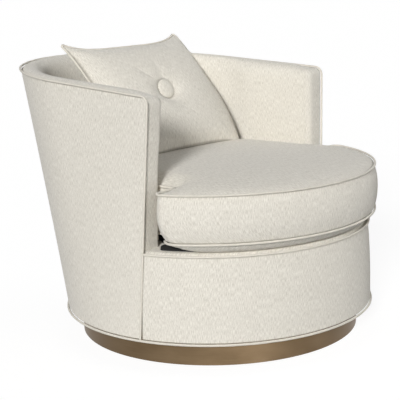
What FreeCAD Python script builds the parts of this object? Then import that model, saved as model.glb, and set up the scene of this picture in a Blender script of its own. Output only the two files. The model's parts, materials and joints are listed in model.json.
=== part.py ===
import FreeCAD, Part

import math
import os
import re

import Sketcher
from FreeCAD import Placement, Rotation, Vector

# A round barrel swivel chair in millimetres. Z is up and is the swivel axis, the floor is at Z = 0, and the
# front of the chair faces -Y.

SIZES = {
    # clearances
    "layGap": 0.2,
    "softGap": 0.3,
    "shellGap": 0.5,
    "boltGap": 0.1,
    # plinth
    "plinthRecess": 38,
    "plinthTop": 80,
    "bandSheet": 1.5,
    "bandJoint": 1,
    "wallPly": 14,
    "ringPly": 16,
    "ringWidth": 62,
    "boardPly": 18,
    "boardRecess": 8,
    "boardBore": 36,
    "floorPad": 3,
    "blockCount": 6,
    "blockLength": 60,
    "blockDepth": 45,
    "screwShank": 2,
    "screwHead": 4,
    "screwBite": 15,
    # swivel
    "plateSide": 200,
    "plateSheet": 3,
    "plateCorner": 12,
    "swivelRise": 25,
    "raceRadius": 62,
    "raceHalf": 11,
    "raceRise": 7,
    "raceSlope": 5,
    "ballRadius": 4.5,
    "ballCount": 16,
    "pivotRadius": 10,
    "pivotWall": 2,
    "pivotFlange": 16,
    "boltSpacing": 170,
    "boltRadius": 3,
    "boltHead": 5.5,
    "boltHeadDepth": 4,
    # frame
    "railWidth": 17,
    "railDepth": 22,
    "dustSheet": 0.6,
    "dustBore": 150,
    "topRailDepth": 45,
    "postWidth": 45,
    "armPostDepth": 40,
    "backPostCount": 5,
    "deckRingSet": 48.8,
    "deckRingWidth": 60,
    "deckRingDepth": 38,
    "deckPostSide": 40,
    "deckPostCount": 8,
    "strapWidth": 60,
    "strapSheet": 1.5,
    "strapPitch": 88,
    "strapCount": 7,
    # shell: its outer face runs from a round hem to a U-shaped rim that slopes down to the front
    "hemHeight": 71.5,
    "hemRadius": 419,
    "hemSplit": 22,
    "armFront": 68,
    "rimDraw": 53,
    "rimCentre": 214,
    "rimFront": 96,
    "rimHeight": 680.2,
    "rimTilt": 3.72,
    "armSplay": 3,
    "wallHem": 86,
    "wallRim": 46,
    "coverSheet": 5,
    "backBoardHem": 5.4,
    "backBoardRim": 4,
    "padHem": 28,
    "padRim": 16,
    "panelThick": 14,
    "panelRound": 8,
    "weltRadius": 3,
    "weltCorner": 10,
    # apron and deck
    "apronTop": 289,
    "apronDraw": 6,
    "apronThick": 8,
    "apronBulge": 3,
    "apronPly": 4,
    "deckRise": 8,
    "deckDepth": 49,
    "deckRound": 9,
    # seat cushion
    "cushionOver": 11,
    "cushionSide": 9,
    "cushionBehind": 14.5,
    "cushionEar": 127,
    "cushionSplay": 3.7,
    "earRound": 9,
    "neckRound": 8,
    "boxing": 117,
    "boxingBulge": 6,
    "neckBulge": 1,
    "crownTop": 14,
    "crownUnder": 30,
    "crownReach": 90,
    "clothSheet": 2,
    "zipWidth": 16,
    "zipSheet": 1,
    "zipAngle": 60,
    # throw pillow
    "pillowWidth": 450,
    "pillowHeight": 430,
    "pillowHalf": 52,
    "pillowDraw": 14,
    "pillowCorner": 10,
    "pillowEdge": 1.5,
    "pillowAside": 71.7,
    "pillowReach": 273.3,
    "pillowStand": 156.7,
    "pillowLean": 45,
    "pillowTurn": 4.8,
    "tuftDrop": 10,
    "tuftDepth": 18,
    "tuftRadius": 58,
    "tuftFlare": 0.62,
    "buttonRadius": 31.75,
    "buttonEdge": 3,
    "buttonDome": 8,
    "cordRadius": 1.2,
}

# sizes that follow from the driving ones, kept in the same sheet as formulas
FORMULAS = {
    "plinthRadius": "hemRadius - plinthRecess",
    "apronRadius": "hemRadius - apronDraw",
    "apronInner": "apronRadius - apronThick",
    "rimRadius": "hemRadius - rimDraw",
    "deckTop": "apronTop + deckRise",
    "wallOuter": "plinthRadius - bandSheet - layGap",
    "wallInner": "wallOuter - wallPly",
    "ringOuter": "wallInner - layGap",
    "ringTop": "floorPad + ringPly",
    "blockCircle": "ringOuter - ringWidth / 2",
    "boardTop": "plinthTop - boardRecess",
    "boardUnder": "boardTop - boardPly",
    "swivelTop": "boardTop + swivelRise",
    "seatBoardTop": "swivelTop + boardPly",
    "frameRadius": "apronInner - layGap",
    "deckRingRadius": "frameRadius - deckRingSet",
    "railUnder": "swivelTop - railDepth",
    "deckUnder": "deckTop - deckDepth",
    "deckRingTop": "deckUnder - layGap - 2 * strapSheet",
    "deckRingUnder": "deckRingTop - deckRingDepth",
    "cushionUnder": "deckTop + softGap",
    "cushionLow": "cushionUnder + crownUnder",
    "cushionHigh": "cushionLow + boxing",
    "zipMiddle": "cushionLow + boxing / 2",
    "weltOffset": "weltRadius * 0.8",
    "cushionFront": "hemRadius + cushionOver",
    "innerHem": "hemRadius - wallHem",
    "cushionNeck": "innerHem - cushionSide",
    "innerRim": "rimCentre + rimRadius - wallRim",
    "cushionShare": "(cushionLow - hemHeight) / (rimHeight - hemHeight)",
    "cushionRear": "innerHem + (innerRim - innerHem) * cushionShare - cushionBehind",
    "pillowBack": "innerRim - pillowReach",
    "pillowUp": "cushionHigh + crownTop + pillowStand",
}

doc = FreeCAD.newDocument("SwivelChair")
sheet = doc.addObject("Spreadsheet::Sheet", "Sizes")
for row, (name, value) in enumerate({**SIZES, **FORMULAS}.items(), 1):
    sheet.set(f"A{row}", name)
    sheet.setAlias(f"B{row}", name)
    sheet.set(f"B{row}", f"={value}" if name in FORMULAS else str(value))
doc.recompute()


def size(name):
    return float(sheet.get(name))


def bound(text):
    """The same formula, written for an object outside the sheet."""
    return re.sub(r"[A-Za-z]+", lambda word: f"Sizes.{word[0]}", text)


def number(text):
    sheet.set("D1", f"={text}")
    sheet.recompute()
    return float(sheet.get("D1"))


nodes = []


def keep(thing, label):
    thing.Label = label
    nodes.append(thing)
    return thing


def shaped(label, shape):
    feature = doc.addObject("Part::Feature", label)
    feature.Shape = shape
    return keep(feature, label)


# Sketch-based pieces: boards, rings and plates


def newSketch(body, role="XY_Plane", height=None):
    plane = next(f for f in body.Origin.OriginFeatures if f.Role == role)
    sketch = body.newObject("Sketcher::SketchObject", f"{body.Name}_sketch")
    sketch.AttachmentSupport = [(plane, "")]
    sketch.MapMode = "FlatFace"
    if height:
        sketch.setExpression("AttachmentOffset.Base.z", bound(height))
    return sketch


def bind(sketch, text, kind, *where):
    index = sketch.addConstraint(Sketcher.Constraint(kind, *where, number(text)))
    sketch.setExpression(f"Constraints[{index}]", bound(text))


def drawCircle(sketch, radius, across=None, up=None):
    centre = Vector(number(across) if across else 0, number(up) if up else 0, 0)
    index = sketch.addGeometry(Part.Circle(centre, Vector(0, 0, 1), number(radius)), False)
    bind(sketch, radius, "Radius", index)
    if across:
        bind(sketch, across, "DistanceX", -1, 1, index, 3)
        bind(sketch, up, "DistanceY", -1, 1, index, 3)
    else:
        sketch.addConstraint(Sketcher.Constraint("Coincident", index, 3, -1, 1))


def drawOutline(sketch, corners):
    points = [Vector(number(x), number(y), 0) for x, y in corners]
    count = len(points)
    first = None
    for i, point in enumerate(points):
        edge = Part.LineSegment(point, points[(i + 1) % count])
        index = sketch.addGeometry(edge, False)
        first = index if first is None else first
    for i in range(count):
        follower = first + (i + 1) % count
        sketch.addConstraint(Sketcher.Constraint("Coincident", first + i, 2, follower, 1))
        bind(sketch, corners[i][0], "DistanceX", -1, 1, first + i, 1)
        bind(sketch, corners[i][1], "DistanceY", -1, 1, first + i, 1)


def addPad(body, sketch, length):
    pad = body.newObject("PartDesign::Pad", f"{body.Name}_pad")
    pad.Profile = sketch
    pad.setExpression("Length", bound(length))
    return pad


def addPocket(body, sketch, length):
    """A cut downwards from the sketch's height."""
    pocket = body.newObject("PartDesign::Pocket", f"{body.Name}_pocket")
    pocket.Profile = sketch
    pocket.setExpression("Length", bound(length))
    return pocket


def addTurn(body, sketch, kind="Revolution"):
    turn = body.newObject(f"PartDesign::{kind}", f"{body.Name}_turn")
    turn.Profile = sketch
    turn.ReferenceAxis = (sketch, ["V_Axis"])
    turn.Angle = 360
    return turn


def addPattern(body, feature, sketch, count):
    pattern = body.newObject("PartDesign::PolarPattern", f"{body.Name}_pattern")
    pattern.Originals = [feature]
    pattern.Axis = (sketch, ["N_Axis"])
    pattern.Angle = 360
    if isinstance(count, str):
        pattern.setExpression("Occurrences", bound(count))
    else:
        pattern.Occurrences = count
    body.Tip = pattern
    return pattern


def newBody(label):
    return keep(doc.addObject("PartDesign::Body", label), label)


def ringBody(label, outer, inner, bottom, depth):
    body = newBody(label)
    sketch = newSketch(body, "XY_Plane", bottom)
    drawCircle(sketch, outer)
    drawCircle(sketch, inner)
    addPad(body, sketch, depth)
    return body


def addHoles(body, top, depth, radius, across, up, count):
    sketch = newSketch(body, "XY_Plane", top)
    drawCircle(sketch, radius, across, up)
    addPattern(body, addPocket(body, sketch, depth), sketch, count)


def makePlinth():
    ringBody("floor_pad_ring", "ringOuter", "ringOuter - ringWidth", "0", "floorPad")
    ringBody("plinth_bottom_ring", "ringOuter", "ringOuter - ringWidth", "floorPad", "ringPly")
    ringBody("plinth_wall", "wallOuter", "wallInner", "floorPad", "plinthTop - floorPad")
    band = ringBody(
        "plinth_band", "plinthRadius", "plinthRadius - bandSheet", "floorPad", "plinthTop - floorPad"
    )
    # the sheet's two ends meet in a butt joint at the back
    joint = newSketch(band, "XY_Plane", "plinthTop")
    drawOutline(
        joint,
        [
            ("0", "plinthRadius - 2 * bandSheet"),
            ("bandJoint", "plinthRadius - 2 * bandSheet"),
            ("bandJoint", "plinthRadius + bandSheet"),
            ("0", "plinthRadius + bandSheet"),
        ],
    )
    addPocket(band, joint, "plinthTop - floorPad")
    board = ringBody("plinth_top_board", "ringOuter", "boardBore", "boardUnder", "boardPly")
    half = "boltSpacing / 2"
    addHoles(board, "boardTop", "boardPly", "boltRadius + boltGap", half, half, 4)
    addHoles(board, "boardTop", "boardPly", "screwShank + boltGap", "blockCircle", "0", "blockCount")


def makeSwivelPlate(label, flip):
    """A square steel plate with a pressed ring for the balls; the upper one is the same, turned over."""
    base = "swivelTop" if flip else "boardTop"
    sign = "-" if flip else "+"
    body = newBody(label)
    outline = newSketch(body, "XY_Plane", "swivelTop - plateSheet" if flip else "boardTop")
    drawOutline(
        outline,
        [
            ("-plateSide / 2", "-plateSide / 2"),
            ("plateSide / 2", "-plateSide / 2"),
            ("plateSide / 2", "plateSide / 2"),
            ("-plateSide / 2", "plateSide / 2"),
        ],
    )
    drawCircle(outline, "pivotRadius + boltGap")
    pad = addPad(body, outline, "plateSheet")
    doc.recompute()
    corners = [
        f"Edge{i}"
        for i, edge in enumerate(pad.Shape.Edges, 1)
        if len(edge.Vertexes) == 2
        and abs(edge.Vertexes[0].Z - edge.Vertexes[1].Z) > 1
        and math.hypot(edge.Vertexes[0].X, edge.Vertexes[0].Y) > size("plateSide") / 2
    ]
    fillet = body.newObject("PartDesign::Fillet", f"{label}_corners")
    fillet.Base = (pad, corners)
    fillet.setExpression("Radius", bound("plateCorner"))
    inner = "raceRadius - raceHalf"
    outer = "raceRadius + raceHalf"
    opening = newSketch(body, "XY_Plane", "swivelTop" if flip else "boardTop + plateSheet")
    drawCircle(opening, f"{outer} + raceSlope + plateSheet / 2")
    drawCircle(opening, f"{inner} - raceSlope - plateSheet / 2")
    addPocket(body, opening, "plateSheet")
    pressed = newSketch(body, "XZ_Plane")
    drawOutline(
        pressed,
        [
            (f"{inner} - raceSlope - plateSheet", f"{base}"),
            (f"{inner} - raceSlope - plateSheet", f"{base} {sign} plateSheet"),
            (f"{inner} - raceSlope", f"{base} {sign} plateSheet"),
            (f"{inner}", f"{base} {sign} plateSheet {sign} raceRise"),
            (f"{outer}", f"{base} {sign} plateSheet {sign} raceRise"),
            (f"{outer} + raceSlope", f"{base} {sign} plateSheet"),
            (f"{outer} + raceSlope + plateSheet", f"{base} {sign} plateSheet"),
            (f"{outer} + raceSlope + plateSheet", f"{base}"),
            (f"{outer} + raceSlope - plateSheet / 2", f"{base}"),
            (f"{outer} - plateSheet / 2", f"{base} {sign} raceRise"),
            (f"{inner} + plateSheet / 2", f"{base} {sign} raceRise"),
            (f"{inner} - raceSlope + plateSheet / 2", f"{base}"),
        ],
    )
    addTurn(body, pressed)
    groove = newSketch(body, "XZ_Plane")
    drawCircle(groove, "ballRadius + boltGap", "raceRadius", "boardTop + swivelRise / 2")
    addTurn(body, groove, "Groove")
    top = "swivelTop" if flip else "boardTop + plateSheet"
    half = "boltSpacing / 2"
    addHoles(body, top, "plateSheet", "boltRadius + boltGap", half, half, 4)


def makeSeatBoards():
    board = ringBody("seat_base_board", "frameRadius", "boardBore", "swivelTop", "boardPly")
    half = "boltSpacing / 2"
    addHoles(board, "seatBoardTop", "boardPly", "boltRadius + boltGap", half, half, 4)
    ringBody("lower_rail", "frameRadius", "frameRadius - railWidth", "railUnder", "railDepth - layGap")
    ringBody(
        "dust_cover",
        "frameRadius - railWidth - layGap",
        "dustBore",
        "swivelTop - layGap - dustSheet",
        "dustSheet",
    )
    inner = "deckRingRadius - deckRingWidth"
    ringBody("deck_ring", "deckRingRadius", inner, "deckRingUnder", "deckRingDepth")


# Groups of like pieces


def around(count, radius, turn=0):
    for i in range(int(count)):
        angle = math.radians(turn + 360 * i / count)
        yield math.degrees(angle), Vector(radius * math.cos(angle), radius * math.sin(angle), 0)


def turned(shape, angle):
    return shape.rotated(Vector(), Vector(0, 0, 1), angle)


def revolve(points, angle=360):
    wire = Part.makePolygon([Vector(r, 0, z) for r, z in points + points[:1]])
    return Part.Face(wire).revolve(Vector(), Vector(0, 0, 1), angle)


def makeBlocks():
    """Glue blocks between the bottom ring and the top board, with a screw down into each."""
    low = size("ringTop")
    high = size("boardUnder")
    length = size("blockLength")
    depth = size("blockDepth")
    middle = size("blockCircle")
    shank = size("screwShank")
    bite = size("screwBite")
    block = Part.makeBox(depth, length, high - low, Vector(middle - depth / 2, -length / 2, low))
    hole = Part.makeCylinder(shank + size("boltGap"), bite + 1, Vector(middle, 0, high - bite - 1))
    block = block.cut(hole)
    spots = around(size("blockCount"), 1)
    shaped("plinth_blocks", Part.makeCompound([turned(block, angle) for angle, at in spots]))
    top = size("boardTop")
    head = size("screwHead")
    foot = high - bite
    crown = top + head / 2
    point = [(0, foot), (shank, foot + shank), (shank, top)]
    screw = revolve(point + [(head, top), (head, crown), (0, crown)])
    spots = around(size("blockCount"), middle)
    shaped("plinth_screws", Part.makeCompound([screw.translated(at) for angle, at in spots]))


def makeBalls():
    middle = size("boardTop") + size("swivelRise") / 2
    spots = around(size("ballCount"), size("raceRadius"))
    lift = Vector(0, 0, middle)
    balls = [Part.makeSphere(size("ballRadius"), at + lift) for angle, at in spots]
    shaped("swivel_balls", Part.makeCompound(balls))


def makeBolts():
    radius = size("boltRadius")
    head = size("boltHead")
    depth = size("boltHeadDepth")
    sheetTop = size("boardTop") + size("plateSheet")
    length = size("plateSheet") + size("boardPly") - 2
    shaft = [(0, -length), (radius, -length), (radius, 0)]
    bolt = revolve(shaft + [(head, 0), (head, depth - 1), (head - 1, depth), (0, depth)])
    reach = size("boltSpacing") / 2 * math.sqrt(2)
    lower = [bolt.translated(at + Vector(0, 0, sheetTop)) for angle, at in around(4, reach, 45)]
    shaped("swivel_lower_bolts", Part.makeCompound(lower))
    over = bolt.mirror(Vector(), Vector(0, 0, 1))
    sheetUnder = size("swivelTop") - size("plateSheet")
    upper = [over.translated(at + Vector(0, 0, sheetUnder)) for angle, at in around(4, reach, 45)]
    shaped("swivel_upper_bolts", Part.makeCompound(upper))


def makePivot():
    """A hollow rivet, flanged over at both ends, that keeps the two swivel plates together."""
    outer = size("pivotRadius")
    flange = size("pivotFlange")
    wall = size("pivotWall")
    low = size("boardTop") - size("boltGap")
    high = size("swivelTop") + size("boltGap")
    rivet = revolve(
        [(outer - wall, low - wall), (flange, low - wall), (flange, low), (outer, low)]
        + [(outer, high), (flange, high), (flange, high + wall), (outer - wall, high + wall)]
    )
    shaped("swivel_pivot", rivet)


def makeDeckPosts():
    low = size("seatBoardTop")
    high = size("deckRingUnder")
    side = size("deckPostSide")
    middle = size("deckRingRadius") - size("deckRingWidth") / 2
    post = Part.makeBox(side, side, high - low, Vector(middle - side / 2, -side / 2, low))
    spots = around(size("deckPostCount"), 1, 22.5)
    shaped("deck_ring_posts", Part.makeCompound([turned(post, angle) for angle, at in spots]))


def makeStraps():
    """Webbing stretched over the deck ring: one set runs front to back, the other lies over it."""
    sheetThick = size("strapSheet")
    width = size("strapWidth")
    reach = size("deckRingRadius") - size("deckRingWidth") / 2
    disc = Part.makeCylinder(reach, 4 * sheetThick, Vector(0, 0, size("deckRingTop")))
    low = size("deckRingTop")
    layers = (("webbing_lengthways", low, 90), ("webbing_crossways", low + sheetThick, 0))
    for label, level, angle in layers:
        straps = []
        for i in range(int(size("strapCount"))):
            across = (i - (size("strapCount") - 1) / 2) * size("strapPitch")
            corner = Vector(-reach, across - width / 2, level)
            strap = Part.makeBox(2 * reach, width, sheetThick, corner)
            straps.append(turned(strap, angle).common(disc).Solids[0])
        shaped(label, Part.makeCompound(straps))


# The shell: a curved wall between the round hem and the U-shaped rim


def arc(centre, radius, start, end):
    circle = Part.Circle(centre, Vector(0, 0, 1), radius)
    return Part.ArcOfCircle(circle, math.radians(start), math.radians(end)).toShape()


def line(start, end):
    return Part.LineSegment(start, end).toShape()


def flipX(point):
    return Vector(-point.x, point.y, point.z)


def hemCorner(inset, setback):
    radius = size("hemRadius") - inset
    y = setback - size("armFront")
    return Vector(math.sqrt(radius**2 - y**2), y, 0)


def rimCorner(inset, setback):
    splay = math.radians(size("armSplay"))
    radius = size("rimRadius") - inset
    y = setback - size("rimFront")
    return Vector((radius - (y - size("rimCentre")) * math.sin(splay)) / math.cos(splay), y, 0)


def hemEdges(inset, setback):
    radius = size("hemRadius") - inset
    corner = hemCorner(inset, setback)
    low = math.degrees(math.atan2(corner.y, corner.x))
    split = size("hemSplit")
    stops = [low, split, 90, 180 - split, 180 - low]
    return [arc(Vector(), radius, a, b) for a, b in zip(stops, stops[1:])]


def rimEdges(inset, setback):
    splay = size("armSplay")
    centre = Vector(0, size("rimCentre"), 0)
    radius = size("rimRadius") - inset
    corner = rimCorner(inset, setback)
    angle = math.radians(splay)
    meet = centre + Vector(radius * math.cos(angle), radius * math.sin(angle), 0)
    return [
        line(corner, meet),
        arc(centre, radius, splay, 90),
        arc(centre, radius, 90, 180 - splay),
        line(flipX(meet), flipX(corner)),
    ]


def rimPlace(lift=0):
    tilt = Rotation(Vector(1, 0, 0), size("rimTilt"))
    return Placement(Vector(0, 0, size("rimHeight")) + tilt.multVec(Vector(0, 0, lift)), tilt)


def wall(outside, inside, setback):
    """The wall between two insets, each given at the hem and at the rim, ending behind the arm fronts."""
    rings = []
    levels = (
        (hemEdges, hemCorner, 0, Placement(Vector(0, 0, size("hemHeight")), Rotation())),
        (rimEdges, rimCorner, 1, rimPlace()),
    )
    for edges, corner, end, place in levels:
        outer = corner(outside[end], setback)
        inner = corner(inside[end], setback)
        loop = edges(outside[end], setback) + [line(flipX(outer), flipX(inner))]
        loop += edges(inside[end], setback)[::-1] + [line(inner, outer)]
        ring = Part.Wire(loop)
        ring.Placement = place
        rings.append(ring)
    return Part.makeLoft(rings, True, True)


FAR = 2000


def slab(low, high):
    return Part.makeBox(FAR, FAR, high - low, Vector(-FAR / 2, -FAR / 2, low))


def rimSlab(low, high):
    """The same, between two levels measured from the sloping rim."""
    block = slab(low, high)
    block.Placement = rimPlace().multiply(block.Placement)
    return block


def wholeWall():
    return (0, 0), (size("wallHem"), size("wallRim"))


def frameZone():
    """The space for wood between the back board and the inside pad."""
    gap = size("layGap")
    under = size("coverSheet") + size("shellGap") + gap
    outside = (under + size("backBoardHem"), under + size("backBoardRim"))
    inside = (
        size("wallHem") - size("padHem") - gap,
        size("wallRim") - size("padRim") - gap,
    )
    return wall(outside, inside, size("panelThick") + gap)


def makeCovers():
    gap = size("layGap")
    cover = size("coverSheet")
    under = cover + size("shellGap")
    setback = size("panelThick") + gap
    rimZone = rimSlab(-FAR, -setback)
    shaped("outside_cover", wall((0, 0), (cover, cover), 0))
    boardInside = (under + size("backBoardHem"), under + size("backBoardRim"))
    board = wall((under, under), boardInside, setback)
    shaped("outer_back_board", board.common(rimZone).Solids[0])
    outer, inner = wholeWall()
    pad = wall((inner[0] - size("padHem"), inner[1] - size("padRim")), inner, setback)
    pad = pad.common(rimZone).common(slab(size("deckRingTop") + gap, FAR))
    shaped("inside_pad", pad.Solids[0])
    top = wall((under, under), inner, setback)
    top = top.common(rimSlab(-size("panelThick"), FAR)).Solids[0]
    shaped("rim_top_panel", top.makeFillet(size("panelRound"), innerRimEdges(top)))


def innerRimEdges(shape):
    """The edges along the inside of the rim, on its top face."""
    back = rimPlace().inverse()
    found = []
    for edge in shape.Edges:
        middle = back.multVec(edge.valueAt((edge.FirstParameter + edge.LastParameter) / 2))
        splay = math.radians(size("armSplay"))
        out = middle - Vector(0, size("rimCentre"), 0)
        if out.y < size("rimRadius") * math.sin(splay):
            reach = abs(middle.x) * math.cos(splay) + out.y * math.sin(splay)
        else:
            reach = math.hypot(out.x, out.y)
        inset = size("rimRadius") - reach
        if abs(middle.z) < 0.1 and abs(inset - size("wallRim")) < 0.5:
            found.append(edge)
    return found


def makeArmFronts():
    outer = size("coverSheet") + size("shellGap")
    thick = size("panelThick")
    loops = []
    for corner, inner, place in (
        (hemCorner, size("wallHem"), Placement(Vector(0, 0, size("hemHeight")), Rotation())),
        (rimCorner, size("wallRim"), rimPlace()),
    ):
        spots = [corner(outer, 0), corner(inner, 0), corner(inner, thick), corner(outer, thick)]
        loop = Part.makePolygon(spots + spots[:1])
        loop.Placement = place
        loops.append(loop)
    panel = Part.makeLoft(loops, True, True)
    low = size("apronTop") + size("weltRadius")
    panel = panel.common(slab(low, FAR)).Solids[0]
    # the front edge on the seat side and the one along the top are soft
    inner = rimCorner(size("wallRim"), 0)
    soft = [
        edge
        for edge in panel.Edges
        if edge.Length > FAR / 8
        and max(v.Point.y for v in edge.Vertexes) < -size("armFront")
        and min(v.Point.x for v in edge.Vertexes) < inner.x + 1
    ]
    panel = panel.makeFillet(size("panelRound"), soft)
    shaped("right_arm_front", panel.mirror(Vector(), Vector(1, 0, 0)))
    shaped("left_arm_front", panel)


def makeFrame():
    gap = size("layGap")
    zone = frameZone()
    railTop = -size("panelThick") - 2 * gap
    railUnder = railTop - size("topRailDepth")
    shaped("top_rail", zone.common(rimSlab(railUnder, railTop)).Solids[0])
    uprights = zone.common(rimSlab(-FAR, railUnder - gap)).common(slab(size("seatBoardTop"), FAR))
    back = size("panelThick") + size("armPostDepth") - size("armFront")
    half = FAR / 2
    rightSide = Part.makeBox(half, half + back, half, Vector(0, -half, 0))
    post = uprights.common(rightSide).Solids[0]
    # the left and right of the person who sits in the chair
    shaped("left_arm_post", post)
    shaped("right_arm_post", post.mirror(Vector(), Vector(1, 0, 0)))
    posts = []
    count = int(size("backPostCount"))
    for i in range(count):
        angle = 180 * (i + 1) / (count + 1)
        width = size("postWidth")
        beam = Part.makeBox(half, width, half, Vector(0, -width / 2, 0))
        posts.append(uprights.common(turned(beam, angle)).Solids[0])
    shaped("back_posts", Part.makeCompound(posts))


def beforeArms(shape, gap):
    inner = size("wallHem") + size("deckRound")
    return shape.cut(wall((-size("wallRim"), -size("wallRim")), (inner - gap, inner - gap), -gap))


def makeApron():
    gap = size("layGap")
    low = size("hemHeight")
    high = size("apronTop")
    outer = size("hemRadius")
    top = size("apronRadius")
    inner = size("apronInner")
    bulge = Part.Arc(
        Vector(outer, 0, low),
        Vector((outer + top) / 2 + size("apronBulge"), 0, (low + high) / 2),
        Vector(top, 0, high),
    ).toShape()
    corners = [Vector(top, 0, high), Vector(inner, 0, high), Vector(inner, 0, low), Vector(outer, 0, low)]
    loop = Part.Wire([bulge] + [line(a, b) for a, b in zip(corners, corners[1:])])
    drum = Part.Face(loop).revolve(Vector(), Vector(0, 0, 1), -180)
    besideWelt = size("weltOffset") + size("weltRadius") + gap
    shaped("apron_cover", beforeArms(drum, besideWelt).Solids[0])
    radius = size("frameRadius")
    floor = size("seatBoardTop")
    height = size("deckUnder") - gap - floor
    front = Part.makeBox(FAR, FAR / 2, FAR, Vector(-FAR / 2, -FAR / 2, 0))
    tube = Part.makeCylinder(radius, height, Vector(0, 0, floor))
    tube = tube.cut(Part.makeCylinder(radius - size("apronPly"), height, Vector(0, 0, floor)))
    shaped("apron_board", beforeArms(tube.common(front), gap).Solids[0])


def makeDeck():
    """The padded deck: it rolls down to the apron's welt in front and is let in between the arms."""
    gap = size("softGap")
    deck = Part.makeCylinder(size("frameRadius"), size("deckDepth"), Vector(0, 0, size("deckUnder")))
    lip = [edge for edge in deck.Edges if abs(edge.BoundBox.ZMin - size("deckTop")) < 0.1]
    rolled = deck.makeFillet(size("deckRound"), lip)
    outer, inner = wholeWall()
    beyond = -size("wallHem")
    hollow = wall((beyond, beyond), (inner[0] + gap, inner[1] + gap), -gap)
    shaped("deck_pad", max(rolled.cut(hollow).Solids, key=lambda s: s.Volume))


def pipe(path, radius):
    start = path.Edges[0]
    point = start.valueAt(start.FirstParameter)
    along = start.tangentAt(start.FirstParameter)
    ring = Part.Wire(Part.makeCircle(radius, point, along))
    return path.makePipeShell([ring], True, False)


def cornerArc(corner, before, after, radius):
    """An arc that rounds the corner between two straight runs; returns its ends and the arc."""
    one = (before - corner).normalize()
    two = (after - corner).normalize()
    half = one.getAngle(two) / 2
    start = corner + one * (radius / math.tan(half))
    end = corner + two * (radius / math.tan(half))
    middle = corner + (one + two).normalize() * (radius / math.sin(half) - radius)
    return start, Part.Arc(start, middle, end).toShape(), end


def makeWelts():
    radius = size("weltRadius")
    off = size("weltOffset")
    place = rimPlace(off)
    foot = hemCorner(-off, -off) + Vector(0, 0, size("hemHeight"))
    corner = place.multVec(rimCorner(-off, -off))
    rim = rimEdges(-off, -off)
    meet = place.multVec(rim[0].Vertexes[1].Point)
    rise = (corner - foot).normalize()
    foot = foot + rise * (radius - off + 2 * size("boltGap") + size("layGap"))
    start, bend, end = cornerArc(corner, foot, meet, size("weltCorner"))
    arcs = []
    for edge in rim[1:3]:
        moved = edge.copy()
        moved.Placement = place
        arcs.append(moved)
    leftBend = cornerArc(flipX(corner), flipX(foot), flipX(meet), size("weltCorner"))[1]
    path = Part.Wire(
        [line(foot, start), bend, line(end, meet)]
        + arcs
        + [line(flipX(meet), flipX(end)), leftBend, line(flipX(start), flipX(foot))]
    )
    shaped("rim_welt", pipe(path, radius))
    hem = Part.makeTorus(size("hemRadius") + off, radius, Vector(0, 0, size("hemHeight") - off))
    shaped("hem_welt", hem)
    ringRadius = size("apronRadius") + off
    level = size("apronTop") + off
    share = (level - foot.z) / (corner.z - foot.z)
    beside = foot + (corner - foot) * share
    clear = math.degrees(math.asin((-beside.y + 2 * radius) / ringRadius))
    run = arc(Vector(0, 0, level), ringRadius, 180 + clear, 360 - clear)
    shaped("apron_welt", pipe(Part.Wire(run), radius))


# The seat cushion


def cushionLoop(front, side, level):
    """The T-shaped outline, grown by one amount round the front and by another at the arms and the back."""
    splay = math.radians(size("cushionSplay"))
    ear = size("cushionEar") - side
    neck = size("cushionNeck") + side
    rear = size("cushionRear") + side
    span = neck * math.cos(splay) - (ear + rear) * math.sin(splay)
    rearRadius = span / (1 - math.sin(splay))
    rearCentre = Vector(0, rear - rearRadius, level)
    frontRadius = size("cushionFront") + front
    tip = size("earRound")
    tipAcross = math.sqrt((frontRadius - tip) ** 2 - (ear + tip) ** 2)
    tipCentre = Vector(tipAcross, -ear - tip, level)
    tipOut = math.degrees(math.atan2(tipCentre.y, tipCentre.x))
    hollow = size("neckRound")
    y = hollow - ear
    x = (rearRadius + hollow - (y - rearCentre.y) * math.sin(splay)) / math.cos(splay)
    neckCentre = Vector(x, y, level)
    neckEnd = neckCentre - Vector(math.cos(splay), math.sin(splay), 0) * hollow
    meet = rearCentre + Vector(math.cos(splay), math.sin(splay), 0) * rearRadius
    turn = math.degrees(splay)
    right = [
        arc(tipCentre, tip, tipOut, 90),
        line(tipCentre + Vector(0, tip, 0), neckCentre - Vector(0, hollow, 0)),
        arc(neckCentre, hollow, 180 + turn, 270),
        line(neckEnd, meet),
    ]
    left = [
        line(flipX(meet), flipX(neckEnd)),
        arc(flipX(neckCentre), hollow, 270, 360 - turn),
        line(flipX(neckCentre) - Vector(0, hollow, 0), flipX(tipCentre) + Vector(0, tip, 0)),
        arc(flipX(tipCentre), tip, 90, 180 - tipOut),
    ]
    rearArc = arc(rearCentre, rearRadius, turn, 180 - turn)
    frontArc = arc(Vector(0, 0, level), frontRadius, 180 - tipOut, 360 + tipOut)
    return Part.Wire(right + [rearArc] + left + [frontArc])


def cushionSolid(inset):
    """Crowned above and below, with sides that swell between the welts; the insides are in plain bands."""
    banded = inset > 0
    low = size("cushionLow")
    high = size("cushionHigh")
    reach = size("crownReach")
    bulge = size("boxingBulge")
    swell = size("neckBulge")
    middle = (low + high) / 2
    quarter = (high - low) / 4
    sides = [
        (0, 0, low),
        (0.75 * bulge, 0.75 * swell, middle - quarter),
        (bulge, swell, middle),
        (0.75 * bulge, 0.75 * swell, middle + quarter),
        (0, 0, high),
    ]
    loops = [cushionLoop(front - inset, side - inset, z) for front, side, z in sides]
    parts = [Part.makeLoft(loops, True, banded)]
    for level, rise in ((high, size("crownTop") - inset), (low, inset - size("crownUnder"))):
        steps = [(0, 0), (0.24, 0.45), (0.6, 0.82), (1, 1)]
        crown = []
        for share, height in steps:
            grown = -reach * share - inset
            crown.append(cushionLoop(grown, grown, level + rise * height))
        parts.append(Part.makeLoft(crown, True, banded))
    return parts[0].multiFuse(parts[1:]).removeSplitter()


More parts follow.
